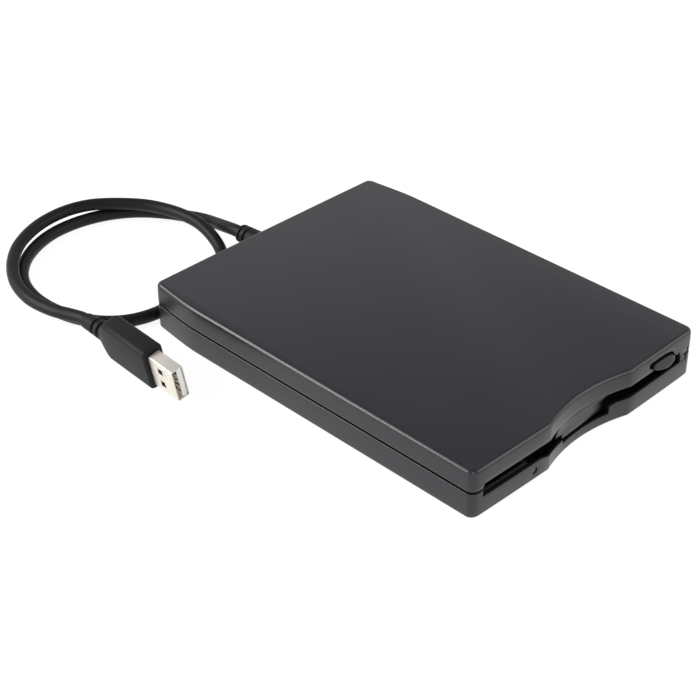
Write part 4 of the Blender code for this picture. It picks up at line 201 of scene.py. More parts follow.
# Studio: bands of the world by height above the horizon, kinds of ray by their place in the node, and
# each softbox by name, place, width and height in metres, roll in degrees, and watts
HORIZON_BAND = (0.42, 0.68)
HORIZON_LEVEL = 0.86
HAZE_BAND = (0.05, 0.38)
HAZE_LEVEL = 0.3
ZENITH_LEVEL = 0.36
SKY = (0.96, 0.97, 1.0)
WHITE = (1.0, 1.0, 1.0)
FLOOR_HALF = 3.0
FLOOR_PAINT = 0.82
SHADOW_SHARE = 0.22
CAMERA_RAY = 0
GLOSSY_RAY = 3
GLASS_RAY = 6
LIGHTS = [
    ("back_left", (-0.66, 0.60, 0.44), (1.0, 0.3), -35.0, 9.5),
    ("front_right", (0.75, -0.70, 0.25), (0.9, 0.4), 0.0, 1.0),
    ("key_light", (0.55, -0.75, 0.65), (0.8, 0.5), 0.0, 3.1),
    ("corner_light", (-0.18, -0.20, 0.10), (0.018, 0.018), 0.0, 0.08),
]

# Round forms: the sizes each may have, its levels and steps round, its grooves and their flanks' steepness
TURNED_SIZES = ("Length", "Root Radius", "Tip Radius", "Edge", "Flange Radius", "Flange Length",
                "Groove Start", "Groove Pitch", "Groove Width", "Groove Depth")
TURNED_LEVELS = 97
ROUND_STEPS = 48
SMALL_ROUND_STEPS = 24
GROOVES = 2.0
FLANK = 4.0

# Rubber relief behind the case, from its flange inside the wall to its tip
RELIEF_START = (0.0, 0.06685, RELIEF_HOLE[1] + LIFT)
RELIEF = {
    "Length": 0.01715, "Root Radius": 0.00425, "Tip Radius": 0.00325, "Edge": 0.0003,
    "Flange Radius": 0.0055, "Flange Length": 0.0012,
    "Groove Start": 0.01275, "Groove Pitch": 0.0026, "Groove Width": 0.0009, "Groove Depth": 0.0007,
}

# Feet, case screws and light pipe: wells by radius and depth, the shank by radius and ends, the driver's
# slot by half its length, half its width and its depth
FEET = [(-0.042, -0.058), (0.042, -0.058), (-0.042, 0.050), (0.042, 0.050)]
FOOT = {"Length": 0.0009, "Root Radius": 0.0040, "Tip Radius": 0.0040, "Edge": 0.0003}
FOOT_WELL = (0.0043, 0.0009)
CASE_SCREWS = [(-0.043, 0.064), (0.043, 0.064)]
SCREW_HEAD = {"Length": 0.0016, "Root Radius": 0.0021, "Tip Radius": 0.0021, "Edge": 0.0004}
SCREW_WELL = (0.0024, 0.0023)
SCREW_HEAD_TOP = 0.0020
SCREW_SHANK = (0.0011, -0.0106, 0.0003)
DRIVE_SLOT = (0.0018, 0.0003, 0.0004)
PIPE_X = -0.0253
PIPE_HEIGHT = 0.0037
PIPE_HOLE = 0.0012
PIPE_SETBACK = 0.0003
PIPE = {"Length": 0.0120, "Root Radius": 0.00108, "Tip Radius": 0.00108, "Edge": 0.0001}

# Plug: X across its thickness, Y across its width, Z from the mouth to the lead. Sizes of three numbers
# are thickness, width and length. The seam is its depth and half its width, a channel depth and width.
PLUG_GAP = 0.0003
PLUG_MOUTH = (-0.07334, 0.03063, 0.00836)
PLUG_YAW = radians(-2.5)
PLUG_PITCH = radians(1.0)
PLUG_ROLL = radians(11.0)
SHELL = (0.0045, 0.0120, 0.0117)
SHELL_SHEET = 0.0003
SHELL_CORNER = 0.0005
SHELL_EDGE = 0.00006
SHELL_SEAM = (0.00012, 0.00004)
SHELL_HOLE = 0.0024
SHELL_HOLE_Z = 0.0066
SHELL_HOLE_Y = 0.0026
BED = (0.0017, 0.0111, 0.0111)
BED_CORNER = 0.0002
BED_SETBACK = 0.0003
CONTACT_PLACES = (-0.0035, -0.0010, 0.0010, 0.0035)
CONTACT = (0.0002, 0.0010, 0.0070)
CONTACT_START = 0.0012
CONTACT_BEND = [(0.0, 0.0), (0.00025, 0.0007), (0.00030, 0.0016), (0.00030, CONTACT[2])]
CONTACT_EDGE = 0.00005
CONTACT_RISE = 0.00005
CHANNEL = (0.0005, 0.0013)
CHANNEL_START = CONTACT_START - 0.0003
GRIP = (0.0076, 0.0153, 0.0216)
GRIP_CORNER = 0.0016
GRIP_RIM = 0.0008
SHOULDER = 0.0047
SHOULDER_CURVE = 1.7
SHOULDER_STEPS = 16
NECK_RADIUS = 0.0033
NECK_CORNER = NECK_RADIUS - 0.00001
NECK_DROP = 0.0007
PLUG_RELIEF = {
    "Root Radius": NECK_RADIUS, "Tip Radius": 0.0026, "Edge": 0.0003,
    "Groove Start": 0.0011, "Groove Pitch": 0.0030, "Groove Width": 0.0012, "Groove Depth": 0.0008,
}

# Sockets by their place, where a node has several of one name
MIX_COLOURS = (6, 7)
MIX_RESULT = 2
OBJECT_COORDINATES = 3
Z_OUTPUT = 2
OBJECT_GEOMETRY = 4


class Socket:
    """A node socket that can be used in Python arithmetic."""

    def __init__(self, tree, output):
        self.tree = tree
        self.output = output

    def math(self, operation, *others):
        return node(self.tree, "ShaderNodeMath", {"operation": operation}, self, *others)

    def __add__(self, other):
        return self.math("ADD", other)

    def __sub__(self, other):
        return self.math("SUBTRACT", other)

    def __rsub__(self, other):
        return node(self.tree, "ShaderNodeMath", {"operation": "SUBTRACT"}, other, self)

    def __mul__(self, other):
        return self.math("MULTIPLY", other)

    def __truediv__(self, other):
        return self.math("DIVIDE", other)

    __radd__ = __add__
    __rmul__ = __mul__


def node(tree, kind, settings=None, *values, out=0, **named):
    """Add a node: its settings first, then its inputs by place or by name."""
    made = tree.nodes.new(kind)
    for name, value in (settings or {}).items():
        setattr(made, name, value)
    spelled = {name.replace("_", " "): value for name, value in named.items()}
    for key, value in [*enumerate(values), *spelled.items()]:
        socket = made.inputs[key]
        if isinstance(value, Socket):
            tree.links.new(value.output, socket)
        else:
            socket.default_value = value
    return Socket(tree, made.outputs[out])


def blend(tree, first, second, factor):
    """A colour between two, each a socket or a plain colour, by a factor."""
    mixed = node(tree, "ShaderNodeMix", {"data_type": "RGBA"}, factor, out=MIX_RESULT)
    mix = mixed.output.node
    for index, value in zip(MIX_COLOURS, (first, second)):
        if isinstance(value, Socket):
            tree.links.new(value.output, mix.inputs[index])
        else:
            mix.inputs[index].default_value = (*value, 1.0)
    return mixed


def scaled(value, low, high):
    """A factor spread over a range."""
    return value * (high - low) + low


class Finish:
    """A Principled material under construction."""

    def __init__(self, name, **constants):
        self.material = bpy.data.materials.new(name)
        self.material.use_nodes = True
        self.tree = self.material.node_tree
        self.shader = self.tree.nodes["Principled BSDF"]
        self.coordinates = node(self.tree, "ShaderNodeTexCoord", out=OBJECT_COORDINATES)
        for socket_name, value in constants.items():
            self.shader.inputs[socket_name.replace("_", " ")].default_value = value

    def add(self, kind, settings=None, *values, **named):
        return node(self.tree, kind, settings, *values, **named)

    def noise(self, size, detail=2.0, roughness=0.5, stretch=None):
        """Noise whose features have a size in metres."""
        vector = self.coordinates
        if stretch:
            vector = self.add("ShaderNodeMapping", {"vector_type": "POINT"}, vector, Scale=stretch)
        return self.add("ShaderNodeTexNoise", None, vector, Scale=1.0 / size, Detail=detail,
                        Roughness=roughness)

    def colour(self, first, second, factor):
        return blend(self.tree, first, second, factor)

    def bump(self, height, distance):
        return self.add("ShaderNodeBump", None, Strength=1.0, Distance=distance, Height=height)

    def feed(self, **links):
        """The material, with sockets of its shader fed by name."""
        for socket_name, value in links.items():
            self.tree.links.new(value.output, self.shader.inputs[socket_name.replace("_", " ")])
        return self.material


# Plastics: name, darkest and lightest colour, roughness, size and depth of the grain in metres, and
# where they differ from the usual the spread of the roughness and the specular level
PLASTICS = {
    "shell": ("shell_plastic", (0.0120, 0.0124, 0.0150), (0.0155, 0.0160, 0.0190),
              0.30, 0.00022, 0.000004),
    "button": ("button_plastic", (0.009, 0.009, 0.010), (0.013, 0.013, 0.014),
               0.30, 0.00018, 0.000003, 0.05, 0.45),
    # the tongue's face: the shell plastic made darker and less glossy, painted shade so it sits level with
    # the cover around it
    "tongue_face": ("door_face", (0.0100, 0.0103, 0.0125), (0.0130, 0.0134, 0.0158),
                    0.30, 0.00022, 0.000004, 0.05, 0.40),
    # painted shade: a duller, nearly unreflective copy of the shell plastic for the covers' faces that lie
    # in shade
    "shade": ("inside_plastic", (0.0160, 0.0163, 0.0170), (0.0220, 0.0224, 0.0232),
              0.5, 0.0002, 0.000004, 0.04, 0.15),
    "door": ("door_plastic", (0.026, 0.027, 0.029), (0.034, 0.035, 0.037), 0.42, 0.0002, 0.000004),
    "inner": ("carriage_plastic", (0.018, 0.018, 0.019), (0.030, 0.030, 0.032), 0.5, 0.0003, 0.000006),
    "chip": ("chip_epoxy", (0.012, 0.012, 0.013), (0.020, 0.020, 0.021), 0.55, 0.00012, 0.000006),
    "jacket": ("lead_jacket", (0.0056, 0.0064, 0.0067), (0.0076, 0.0084, 0.0087),
               0.46, 0.0004, 0.000008, 0.06, 0.20),
    "overmould": ("plug_vinyl", (0.0060, 0.0064, 0.0070), (0.0086, 0.0090, 0.0096),
                  0.52, 0.00025, 0.000010, 0.06, 0.20),
    "foot": ("foot_rubber", (0.010, 0.010, 0.010), (0.022, 0.022, 0.022),
             0.85, 0.0003, 0.00002, 0.04, 0.3),
    "tongue": ("tongue_plastic", (0.82, 0.82, 0.81), (0.88, 0.88, 0.87), 0.45, 0.0002, 0.000004),
    "ceramic": ("head_ceramic", (0.42, 0.39, 0.33), (0.52, 0.49, 0.43), 0.3, 0.0001, 0.000002),
    "film": ("flex_film", (0.30, 0.15, 0.04), (0.42, 0.23, 0.07), 0.3, 0.0006, 0.000004),
}
FLOW_SIZE = 0.024
FLECK_RATIO = 2.3

# Metals: as above, with the stretch of the grain before its depth and the metallic share last
METALS = {
    "sheet": ("zinc_sheet", (0.46, 0.47, 0.49), (0.60, 0.61, 0.62), 0.36, 0.0012, (1.0, 0.12, 1.0),
              0.000006),
    "steel": ("turned_steel", (0.50, 0.50, 0.51), (0.62, 0.62, 0.63), 0.28, 0.0006, (1.0, 1.0, 0.2),
              0.000004),
    "plated": ("nickel_plate", (0.76, 0.71, 0.62), (0.85, 0.81, 0.73), 0.42, 0.0010, (1.0, 0.1, 1.0),
               0.000003, 0.05, 0.7),
    "brass": ("turned_brass", (0.62, 0.42, 0.16), (0.76, 0.56, 0.26), 0.3, 0.0006, (1.0, 0.3, 1.0),
              0.000004),
    "gold": ("contact_gold", (0.42, 0.30, 0.14), (0.56, 0.42, 0.22), 0.3, 0.0006, (1.0, 0.1, 1.0),
             0.000002),
}
TARNISH_SIZE = 0.009

# Circuit board: its tracks and pads, each by scale and width
TRACKS = (900.0, 0.06)
PADS = (420.0, 0.16)
TRACK_RISE = 0.00003
MASK_COLOURS = ((0.010, 0.060, 0.026), (0.022, 0.115, 0.050))
PAD_COLOUR = (0.62, 0.60, 0.55)

# Light pipe, its colours dark to paint the shade of the hole it sits in
HAZE_SIZE = 0.0006
PIPE_SHADE_COLOURS = ((0.020, 0.021, 0.020), (0.040, 0.042, 0.040))


def moulded(name, low, high, roughness, grain, depth, spread=0.05, specular=0.5):
    """Matte moulded plastic: spark-eroded grain, faint flow variation, finger-worn gloss."""
    finish = Finish(name, Specular_IOR_Level=specular)
    fine = finish.noise(grain, 3.0, 0.6)
    broad = finish.noise(FLOW_SIZE, 2.0, 0.5)
    flecks = finish.noise(grain * FLECK_RATIO, 1.0, 0.5)
    tone = scaled(broad, -0.1, 0.75) + scaled(flecks, -0.15, 0.5)
    gloss = scaled(broad, roughness - spread, roughness + spread) + scaled(fine, -0.04, 0.04)
    return finish.feed(
        Base_Color=finish.colour(low, high, tone),
        Roughness=gloss,
        Normal=finish.bump(fine + flecks * 0.5, depth),
    )


def metal(name, low, high, roughness, grain, stretch, depth, spread=0.08, metallic=1.0):
    """Metal with a directional grain and slight tarnish."""
    finish = Finish(name, Metallic=metallic)
    lines = finish.noise(grain, 3.0, 0.6, stretch)
    broad = finish.noise(TARNISH_SIZE, 3.0, 0.6)
    gloss = scaled(broad, roughness - spread, roughness + spread) + scaled(lines, -0.05, 0.05)
    return finish.feed(
        Base_Color=finish.colour(low, high, broad),
        Roughness=gloss,
        Normal=finish.bump(lines, depth),
    )


def board_finish(name):
    """Solder mask over copper tracks, with tinned pads."""
    finish = Finish(name, Coat_Weight=0.4, Coat_Roughness=0.2)
    marks = []
    for feature, (scale, width) in (("DISTANCE_TO_EDGE", TRACKS), ("F1", PADS)):
        cells = finish.add("ShaderNodeTexVoronoi", {"feature": feature}, finish.coordinates, Scale=scale)
        marks.append(finish.add("ShaderNodeMath", {"operation": "LESS_THAN"}, cells, width))
    tracks, pads = marks
    return finish.feed(
        Base_Color=finish.colour(finish.colour(*MASK_COLOURS, tracks), PAD_COLOUR, pads),
        Metallic=pads * 0.9,
        Roughness=scaled(pads, 0.45, 0.28),
        Normal=finish.bump(tracks, TRACK_RISE),
    )


def pipe_finish(name):
    """Slightly hazy plastic that carries a light, darkened as painted shade of the hole it sits in."""
    finish = Finish(name, IOR=1.49)
    haze = finish.noise(HAZE_SIZE)
    return finish.feed(
        Base_Color=finish.colour(*PIPE_SHADE_COLOURS, haze),
        Roughness=scaled(haze, 0.10, 0.30),
    )


def make_finishes():
    made = {key: moulded(*values) for key, values in PLASTICS.items()}
    made.update({key: metal(*values) for key, values in METALS.items()})
    return {**made, "board": board_finish("board_mask"), "clear": pipe_finish("light_guide")}


# Meshes

def new_piece(name, mesh, material, body, replaced=(), inside=None):
    """Put a finished mesh into the scene and tie it to its body and its solids."""
    mesh.materials.clear()
    mesh.materials.append(material)
    # a second finish, such as the covers' painted shade
    if inside:
        mesh.materials.append(inside)
    mesh.name = name
    piece = bpy.data.objects.new(name, mesh)
    bpy.context.scene.collection.objects.link(piece)
    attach(piece, body)
    if replaced:
        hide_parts(*replaced)
    return piece


def scratch(name, mesh):
    """An object that only lives while a mesh is being made."""
    item = bpy.data.objects.new(name, mesh)
    bpy.context.scene.collection.objects.link(item)
    return item


def baked(item, extra=()):
    """The evaluated mesh of a scratch object; it and its cutters are removed."""
    bpy.context.view_layer.update()
    evaluated = item.evaluated_get(bpy.context.evaluated_depsgraph_get())
    mesh = bpy.data.meshes.new_from_object(evaluated)
    mesh.transform(item.matrix_world)
    for done in (item, *extra):
        bpy.data.objects.remove(done, do_unlink=True)
    return mesh


def shaded(mesh, angle=32.0):
    """Smooth shading with the edges beyond an angle kept sharp."""
    mesh.shade_smooth()
    mesh.set_sharp_from_angle(angle=radians(angle))
    return mesh


def steps_between(low, high, count):
    return [low + (high - low) * i / count for i in range(count + 1)]


def arc(x, y, radius, start, end, steps):
    turns = steps_between(start, end, steps)
    return [(x + radius * cos(turn), y + radius * sin(turn)) for turn in turns]


def circle(x, y, radius, steps=ROUND_STEPS):
    return arc(x, y, radius, 0.0, 2 * pi, steps)[:-1]


def mesh_from(name, build):
    """A mesh that a function fills through bmesh, with its doubles merged and its faces outward."""
    form = bmesh.new()
    build(form)
    bmesh.ops.remove_doubles(form, verts=form.verts, dist=1e-7)
    bmesh.ops.recalc_face_normals(form, faces=form.faces)
    mesh = bpy.data.meshes.new(name)
    form.to_mesh(mesh)
    form.free()
    return mesh


def skin(form, rings, close=True):
    """Faces between rings of points of one count, with both ends filled."""
    loops = [[form.verts.new(point) for point in ring] for ring in rings]
    for ring, after in zip(loops, loops[1:]):
        count = len(ring)
        for i in range(count):
            j = (i + 1) % count
            form.faces.new((ring[i], ring[j], after[j], after[i]))
    if close:
        form.faces.new(loops[0])
        form.faces.new(loops[-1])


def skinned(name, rings, close=True):
    """A scratch object skinned over rings."""
    return scratch(name, mesh_from(name, lambda form: skin(form, rings, close)))


def cutter(name, outline, low, high, turn=None):
    """A prism used as a cutter: an outline in X and Y between two heights, then turned."""
    item = skinned(name, [[(x, y, level) for x, y in outline] for level in (low, high)])
    if turn is not None:
        item.data.transform(turn)
    return item


FRONTAL = Matrix.Rotation(pi / 2, 4, "X")
SIDEWAYS = Matrix(((0, 0, 1, 0), (1, 0, 0, 0), (0, 1, 0, 0), (0, 0, 0, 1)))


def front_cutter(name, outline, front, back):
    """A cutter whose outline is drawn in X and Z and runs from a front Y to a back Y."""
    lifted = [(x, z + LIFT) for x, z in outline]
    return cutter(name, lifted, -back, -front, FRONTAL)


def block_outline(x0, y0, x1, y1):
    return [(x0, y0), (x1, y0), (x1, y1), (x0, y1)]


def well_cutter(name, place, size):
    """A round well of a radius and a depth, up from below the case."""
    radius, deep = size
    return cutter(name, circle(*place, radius), LIFT - OVERRUN, deep + LIFT)


def relief_cutter():
    """The round hole in the rear wall, half in each cover."""
    return front_cutter("relief_opening", circle(*RELIEF_HOLE), *RELIEF_REACH)


def cut(item, tool, operation="DIFFERENCE"):
    """A Boolean with a tool, which is handed back."""
    modifier = item.modifiers.new(tool.name, "BOOLEAN")
    modifier.operation = operation
    modifier.object = tool
    modifier.solver = "EXACT"
    return tool


def soften(item, width, segments=2, angle=40.0):
    """Small rounded edges."""
    modifier = item.modifiers.new("edges", "BEVEL")
    modifier.width = width
    modifier.segments = segments
    modifier.limit_method = "ANGLE"
    modifier.angle_limit = radians(angle)
    modifier.use_clamp_overlap = True


# The case's plan, station by station

def front_line(x):
    """Y of the front at X: a slight bow with the finger notch in it."""
    reach = min(abs(x - NOTCH_X) / NOTCH_HALF, 1.0)
    return FRONT_BOW * (2 * x / CASE_WIDTH) ** 2 - CASE_DEPTH / 2 + NOTCH_DEPTH * (1.0 - reach * reach)


def taper_share(y):
    """Share of the rear taper's inset reached at Y."""
    run = min(max((y - TAPER_START) / (TAPER_END - TAPER_START), 0.0), 1.0)
    for (a, low), (b, high) in zip(TAPER, TAPER[1:] + [(1.0, 1.0)]):
        if run <= b:
            return low + (high - low) * (run - a) / (b - a)
    return 1.0


def case_plan():
    """Points of the case seen from above."""
    half = CASE_WIDTH / 2
    rear = half - TAPER_INSET
    flat = half - CORNER
    notch_left, notch_right = NOTCH_X - NOTCH_HALF, NOTCH_X + NOTCH_HALF
    xs = steps_between(-flat, notch_left, FRONT_STEPS)[:-1]
    xs += steps_between(notch_left, notch_right, NOTCH_STEPS)
    xs += steps_between(notch_right, flat, FRONT_STEPS)[1:-1]
    plan = [(x, front_line(x)) for x in xs]
    side = -CASE_DEPTH / 2 + FRONT_BOW + CORNER
    run = TAPER_END - TAPER_START
    plan += arc(flat, side, CORNER, -pi / 2, 0.0, CORNER_STEPS)
    plan += [(half - TAPER_INSET * b, TAPER_START + run * a) for a, b in TAPER]
    plan += arc(rear - CORNER, TAPER_END, CORNER, 0.0, pi / 2, CORNER_STEPS)
    plan += [(x, CASE_DEPTH / 2 - REAR_BOW * (x / half) ** 2) for x in REAR_STATIONS]
    plan += arc(CORNER - rear, TAPER_END, CORNER, pi / 2, pi, CORNER_STEPS)
    plan += [(TAPER_INSET * b - half, TAPER_START + run * a) for a, b in reversed(TAPER)]
    plan += arc(-flat, side, CORNER, pi, 3 * pi / 2, CORNER_STEPS)[:-1]
    return plan


def inward(plan, inset):
    """The plan drawn in along its own normals."""
    count = len(plan)
    drawn = []
    for i, (x, y) in enumerate(plan):
        before, after = plan[i - 1], plan[(i + 1) % count]
        tangent = Vector((after[0] - before[0], after[1] - before[1])).normalized()
        drawn.append((x - tangent.y * inset, y + tangent.x * inset))
    return drawn


def fillet(radius, height, side, steps=7):
    """Levels over a rounded edge that ends at a height: above the wall, or with side 1 below it."""
    angles = steps_between(0.0, pi / 2, steps)
    return [(radius * (1 - cos(angle)), height + side * radius * (1 - sin(angle))) for angle in angles]


def cover_form(name, levels):
    """The scratch form of a cover: the case's plan at insets and heights."""
    plan = case_plan()
    return skinned(name, [[(x, y, z + LIFT) for x, y in inward(plan, inset)] for inset, z in levels])


def paint_shade_inside(mesh):
    """Paint shade on the faces behind the case's walls and on the slot's lower lip: they get the second
    finish.
    """
    rear = CASE_DEPTH / 2 - REAR_BOW - SHADE_DEPTH
    for face in mesh.polygons:
        x, y, z = face.center
        side = CASE_WIDTH / 2 - TAPER_INSET * taper_share(y) - SHADE_DEPTH
        within = abs(x) < side and front_line(x) + SHADE_DEPTH < y < rear
        lip = face.normal.z > LIP_FACING and THROAT_LOW < z < LIP_HIGH
        face.material_index = int(within and SHADE_LOW < z - LIFT < SHADE_HIGH or lip)
    return mesh


def cover_piece(name, item, tools, finishes, solid):
    """A finished cover in place of its solid, with painted shade inside it and on the slot's lip."""
    mesh = paint_shade_inside(shaded(baked(item, tools)))
    new_piece(name, mesh, finishes["shell"], "case", [solid], finishes["shade"])


def make_top_cover(finishes):
    levels = [(WALL, CASE_HEIGHT - WALL), (WALL, SEAM_HIGH), (0.0, SEAM_HIGH)]
    levels += TOP_WALL
    levels += [(TOP_WALL[-1][0] + inset, z) for inset, z in fillet(TOP_FILLET, CASE_HEIGHT, -1)[1:]]
    item = cover_form("top_cover_skin", levels)
    tools = [
        cut(item, front_cutter("slot_top", SLOT_TOP, FRONT_REACH, TOP_REACH)),
        cut(item, front_cutter("corner_nick", block_outline(*CORNER_NICK), FRONT_REACH, NICK_REACH)),
        cut(item, front_cutter("eject_window", EJECT_WINDOW, FRONT_REACH, TOP_REACH)),
        cut(item, relief_cutter()),
    ]
    soften(item, TOP_EDGE)
    cover_piece("top_cover_skin", item, tools, finishes, "top_cover")


def make_bottom_cover(finishes):
    levels = [(BOTTOM_FLAT, 0.0)] + fillet(BOTTOM_FILLET, 0.0, 1)[::-1]
    levels += [BOTTOM_WALL] + fillet(SEAM_EDGE, SEAM_LOW, -1)
    channel, channel_low = SEAM_CHANNEL
    levels += [
        (channel, SEAM_LOW), (channel, channel_low), (LIP_INSET, channel_low), (LIP_INSET, LIP_TOP),
        (CAVITY_INSET, LIP_TOP), (CAVITY_INSET, FLOOR),
    ]
    item = cover_form("bottom_cover_skin", levels)
    left, right = THROAT_ENDS
    throat = [(x, front_line(x) + LIP_WALL) for x in steps_between(left, right, THROAT_STEPS)]
    throat += [(right, BOTTOM_REACH), (left, BOTTOM_REACH)]
    pipe_hole = circle(PIPE_X, PIPE_HEIGHT, PIPE_HOLE, SMALL_ROUND_STEPS)
    tools = [
        cut(item, front_cutter("slot_bottom", SLOT_BOTTOM, FRONT_REACH, BOTTOM_REACH)),
        cut(item, cutter("slot_throat", throat, THROAT_LOW + LIFT, THROAT_HIGH)),
        *[cut(item, well_cutter("foot_well", place, FOOT_WELL)) for place in FEET],
        *[cut(item, well_cutter("screw_well", place, SCREW_WELL)) for place in CASE_SCREWS],
        cut(item, front_cutter("pipe_opening", pipe_hole, FRONT_REACH, BOTTOM_REACH)),
        cut(item, relief_cutter()),
    ]
    soften(item, BOTTOM_EDGE, BOTTOM_BEVEL_STEPS)
    cover_piece("bottom_cover_skin", item, tools, finishes, "bottom_cover")


def make_slot_trim(finishes):
    """The small tab in the slot's right end and the ledge behind its left end."""
    tab = skinned("slot_tab", [
        [(x, front_line(x) + depth, z + LIFT) for x, z in TAB] for depth in TAB_DEPTHS
    ])
    soften(tab, TRIM_EDGE)
    new_piece("slot_tab", shaded(baked(tab)), finishes["shell"], "case")
    ledge = skinned("slot_ledge", [
        [(x, front_line(x) + LEDGE_BACK + y, z + LIFT) for y, z in LEDGE] for x in LEDGE_ENDS
    ])
    soften(ledge, FINE_EDGE)
    new_piece("slot_ledge", shaded(baked(ledge)), finishes["door"], "case")


def make_door(finishes):
    """The tongue that closes the finger notch, and the flap that carries it, which wears the covers'
    painted shade.
    """
    right = TONGUE_RIGHT - TONGUE_CURL
    rings = []
    for z, share in TONGUE_LEVELS:
        ring = []
        for x in steps_between(TONGUE_LEFT, right, TONGUE_STEPS):
            along = (x - TONGUE_LEFT) / (right - TONGUE_LEFT)
            face = TONGUE_FACE_LEFT + (TONGUE_FACE - TONGUE_FACE_LEFT) * along
            ring.append((x, front_line(x) * (1.0 - share) + face * share))
        centre = ring[-1][1] + TONGUE_CURL
        ring += arc(right, centre, TONGUE_CURL, -pi / 2, 0.0, CURL_STEPS)[1:]
        ring += [(TONGUE_RIGHT, TONGUE_BACK), (TONGUE_LEFT, TONGUE_BACK)]
        rings.append([(x, y, z + LIFT) for x, y in ring])
    item = skinned("door_tongue", rings)
    undercut = block_outline(*TONGUE_UNDERCUT)
    tools = [cut(item, front_cutter("tongue_step", undercut, FRONT_REACH, BOTTOM_REACH))]
    soften(item, FINE_EDGE, angle=50.0)
    mesh = shaded(baked(item, tools), angle=40.0)
    # the tongue's finish is the shell plastic darkened as painted shade
    new_piece("door_tongue", mesh, finishes["tongue_face"], "door", ["dust_door"])

    flap = skinned("door_flap", [[(x, y, z + LIFT) for y, z in FLAP] for x in FLAP_ENDS])
    pin = cutter("flap_pin", circle(*FLAP_PIN, SMALL_ROUND_STEPS), *FLAP_PIN_ENDS, SIDEWAYS)
    pins = [cut(flap, pin, "UNION")]
    soften(flap, TRIM_EDGE)
    # the flap wears the painted shade finish
    new_piece("door_flap", shaded(baked(flap, pins)), finishes["shade"], "door")


def make_button(finishes):
    """The eject button: a tongue whose face leans back, with a rounded lower edge."""
    outline = [(BUTTON_LEFT + a * BUTTON_WIDE, BUTTON_LOW + b * BUTTON_TALL) for a, b in BUTTON_OUTLINE]
    centre_x = BUTTON_LEFT + BUTTON_WIDE / 2
    centre_z = BUTTON_LOW + BUTTON_TALL / 2
    rings = []
    for inset, back in BUTTON_RIM:
        ring = []
        for x, z in outline:
            px = x + (centre_x - x) * inset
            pz = z + (centre_z - z) * inset
            lean = (pz - BUTTON_LOW) / BUTTON_TALL
            round_off = back * min(BUTTON_SOFT * (1.0 - lean), 1.0)
            ring.append((px, BUTTON_FRONT + round_off + BUTTON_LEAN * lean, pz + LIFT))
        rings.append(ring)
    rings.append([(x, BUTTON_BACK, z + LIFT) for x, z in outline])
    item = skinned("button_cap", rings)
    stem = cutter("button_stem", block_outline(*BUTTON_STEM), *BUTTON_STEM_LEVELS)
    tools = [cut(item, stem, "UNION")]
    mesh = shaded(baked(item, tools), angle=50.0)
    new_piece("button_cap", mesh, finishes["button"], "slider", ["eject_button"])


# Forms that Geometry Nodes grow

def open_tree(name, sockets):
    """A Geometry Nodes tree with named inputs: its host's geometry first, then the sockets."""
    tree = bpy.data.node_groups.new(name, "GeometryNodeTree")
    tree.interface.new_socket("Geometry", in_out="OUTPUT", socket_type="NodeSocketGeometry")
    for label, kind in {"Host": "Geometry", **sockets}.items():
        tree.interface.new_socket(label, in_out="INPUT", socket_type=f"NodeSocket{kind}")
    entry = tree.nodes.new("NodeGroupInput")
    return tree, {output.name: Socket(tree, output) for output in entry.outputs if output.name}


def close_tree(tree, geometry, material):
    """Real geometry with its material, out of the tree."""
    real = node(tree, "GeometryNodeRealizeInstances", None, geometry)
    coloured = node(tree, "GeometryNodeSetMaterial", None, real, Material=material)
    tree.links.new(coloured.output, tree.nodes.new("NodeGroupOutput").inputs[0])
    return tree


def grown(name, tree, places, values):
    """The mesh that a tree grows from points, with its inputs set by name."""
    host = bpy.data.meshes.new(name)
    host.from_pydata(places, [], [])
    item = scratch(name, host)
    growth = item.modifiers.new("growth", "NODES")
    growth.node_group = tree
    for socket in tree.interface.items_tree:
        if socket.in_out == "INPUT" and socket.name in values:
            growth[socket.identifier] = values[socket.name]
    return baked(item)


def turned_tree(material):
    """A round form up from each point: it tapers from a flange, past two grooves, to a rounded tip."""
    tree, size = open_tree("turned_form", {label: "Float" for label in TURNED_SIZES})
    line = node(tree, "GeometryNodeCurvePrimitiveLine", {"mode": "DIRECTION"}, Length=size["Length"])
    dense = node(tree, "GeometryNodeResampleCurve", None, line, Count=TURNED_LEVELS)
    place = node(tree, "GeometryNodeInputPosition")
    height = node(tree, "ShaderNodeSeparateXYZ", None, place, out=Z_OUTPUT)
    root = size["Root Radius"]
    taper = height / size["Length"] * (size["Tip Radius"] - root)
    flange = height.math("LESS_THAN", size["Flange Length"]) * (size["Flange Radius"] - root)
    cycle = (height - size["Groove Start"]) / size["Groove Pitch"]
    within = cycle.math("GREATER_THAN", 0.0) * cycle.math("LESS_THAN", GROOVES)
    share = cycle.math("FRACT") * size["Groove Pitch"] / size["Groove Width"]
    flank = (share * FLANK).math("MINIMUM", FLANK - share * FLANK)
    flank = flank.math("MINIMUM", 1.0).math("MAXIMUM", 0.0)
    run = ((height - size["Length"]) / size["Edge"] + 1.0).math("MAXIMUM", 0.0)
    edge = (1.0 - (1.0 - run * run).math("MAXIMUM", 0.0).math("SQRT")) * size["Edge"]
    radius = root + taper + flange - flank * within * size["Groove Depth"] - edge
    profile = node(tree, "GeometryNodeCurvePrimitiveCircle", None, ROUND_STEPS, Radius=1.0)
    form = node(tree, "GeometryNodeCurveToMesh", None, dense, profile, Scale=radius, Fill_Caps=True)
    form = node(tree, "GeometryNodeInstanceOnPoints", None, size["Host"], Instance=form)
    return close_tree(tree, form, material)


def spread_tree(material):
    """A copy of one form at each point."""
    tree, given = open_tree("spread_form", {"Form": "Object"})
    form = node(tree, "GeometryNodeObjectInfo", None, given["Form"], out=OBJECT_GEOMETRY)
    copies = node(tree, "GeometryNodeInstanceOnPoints", None, given["Host"], Instance=form)
    return close_tree(tree, copies, material)


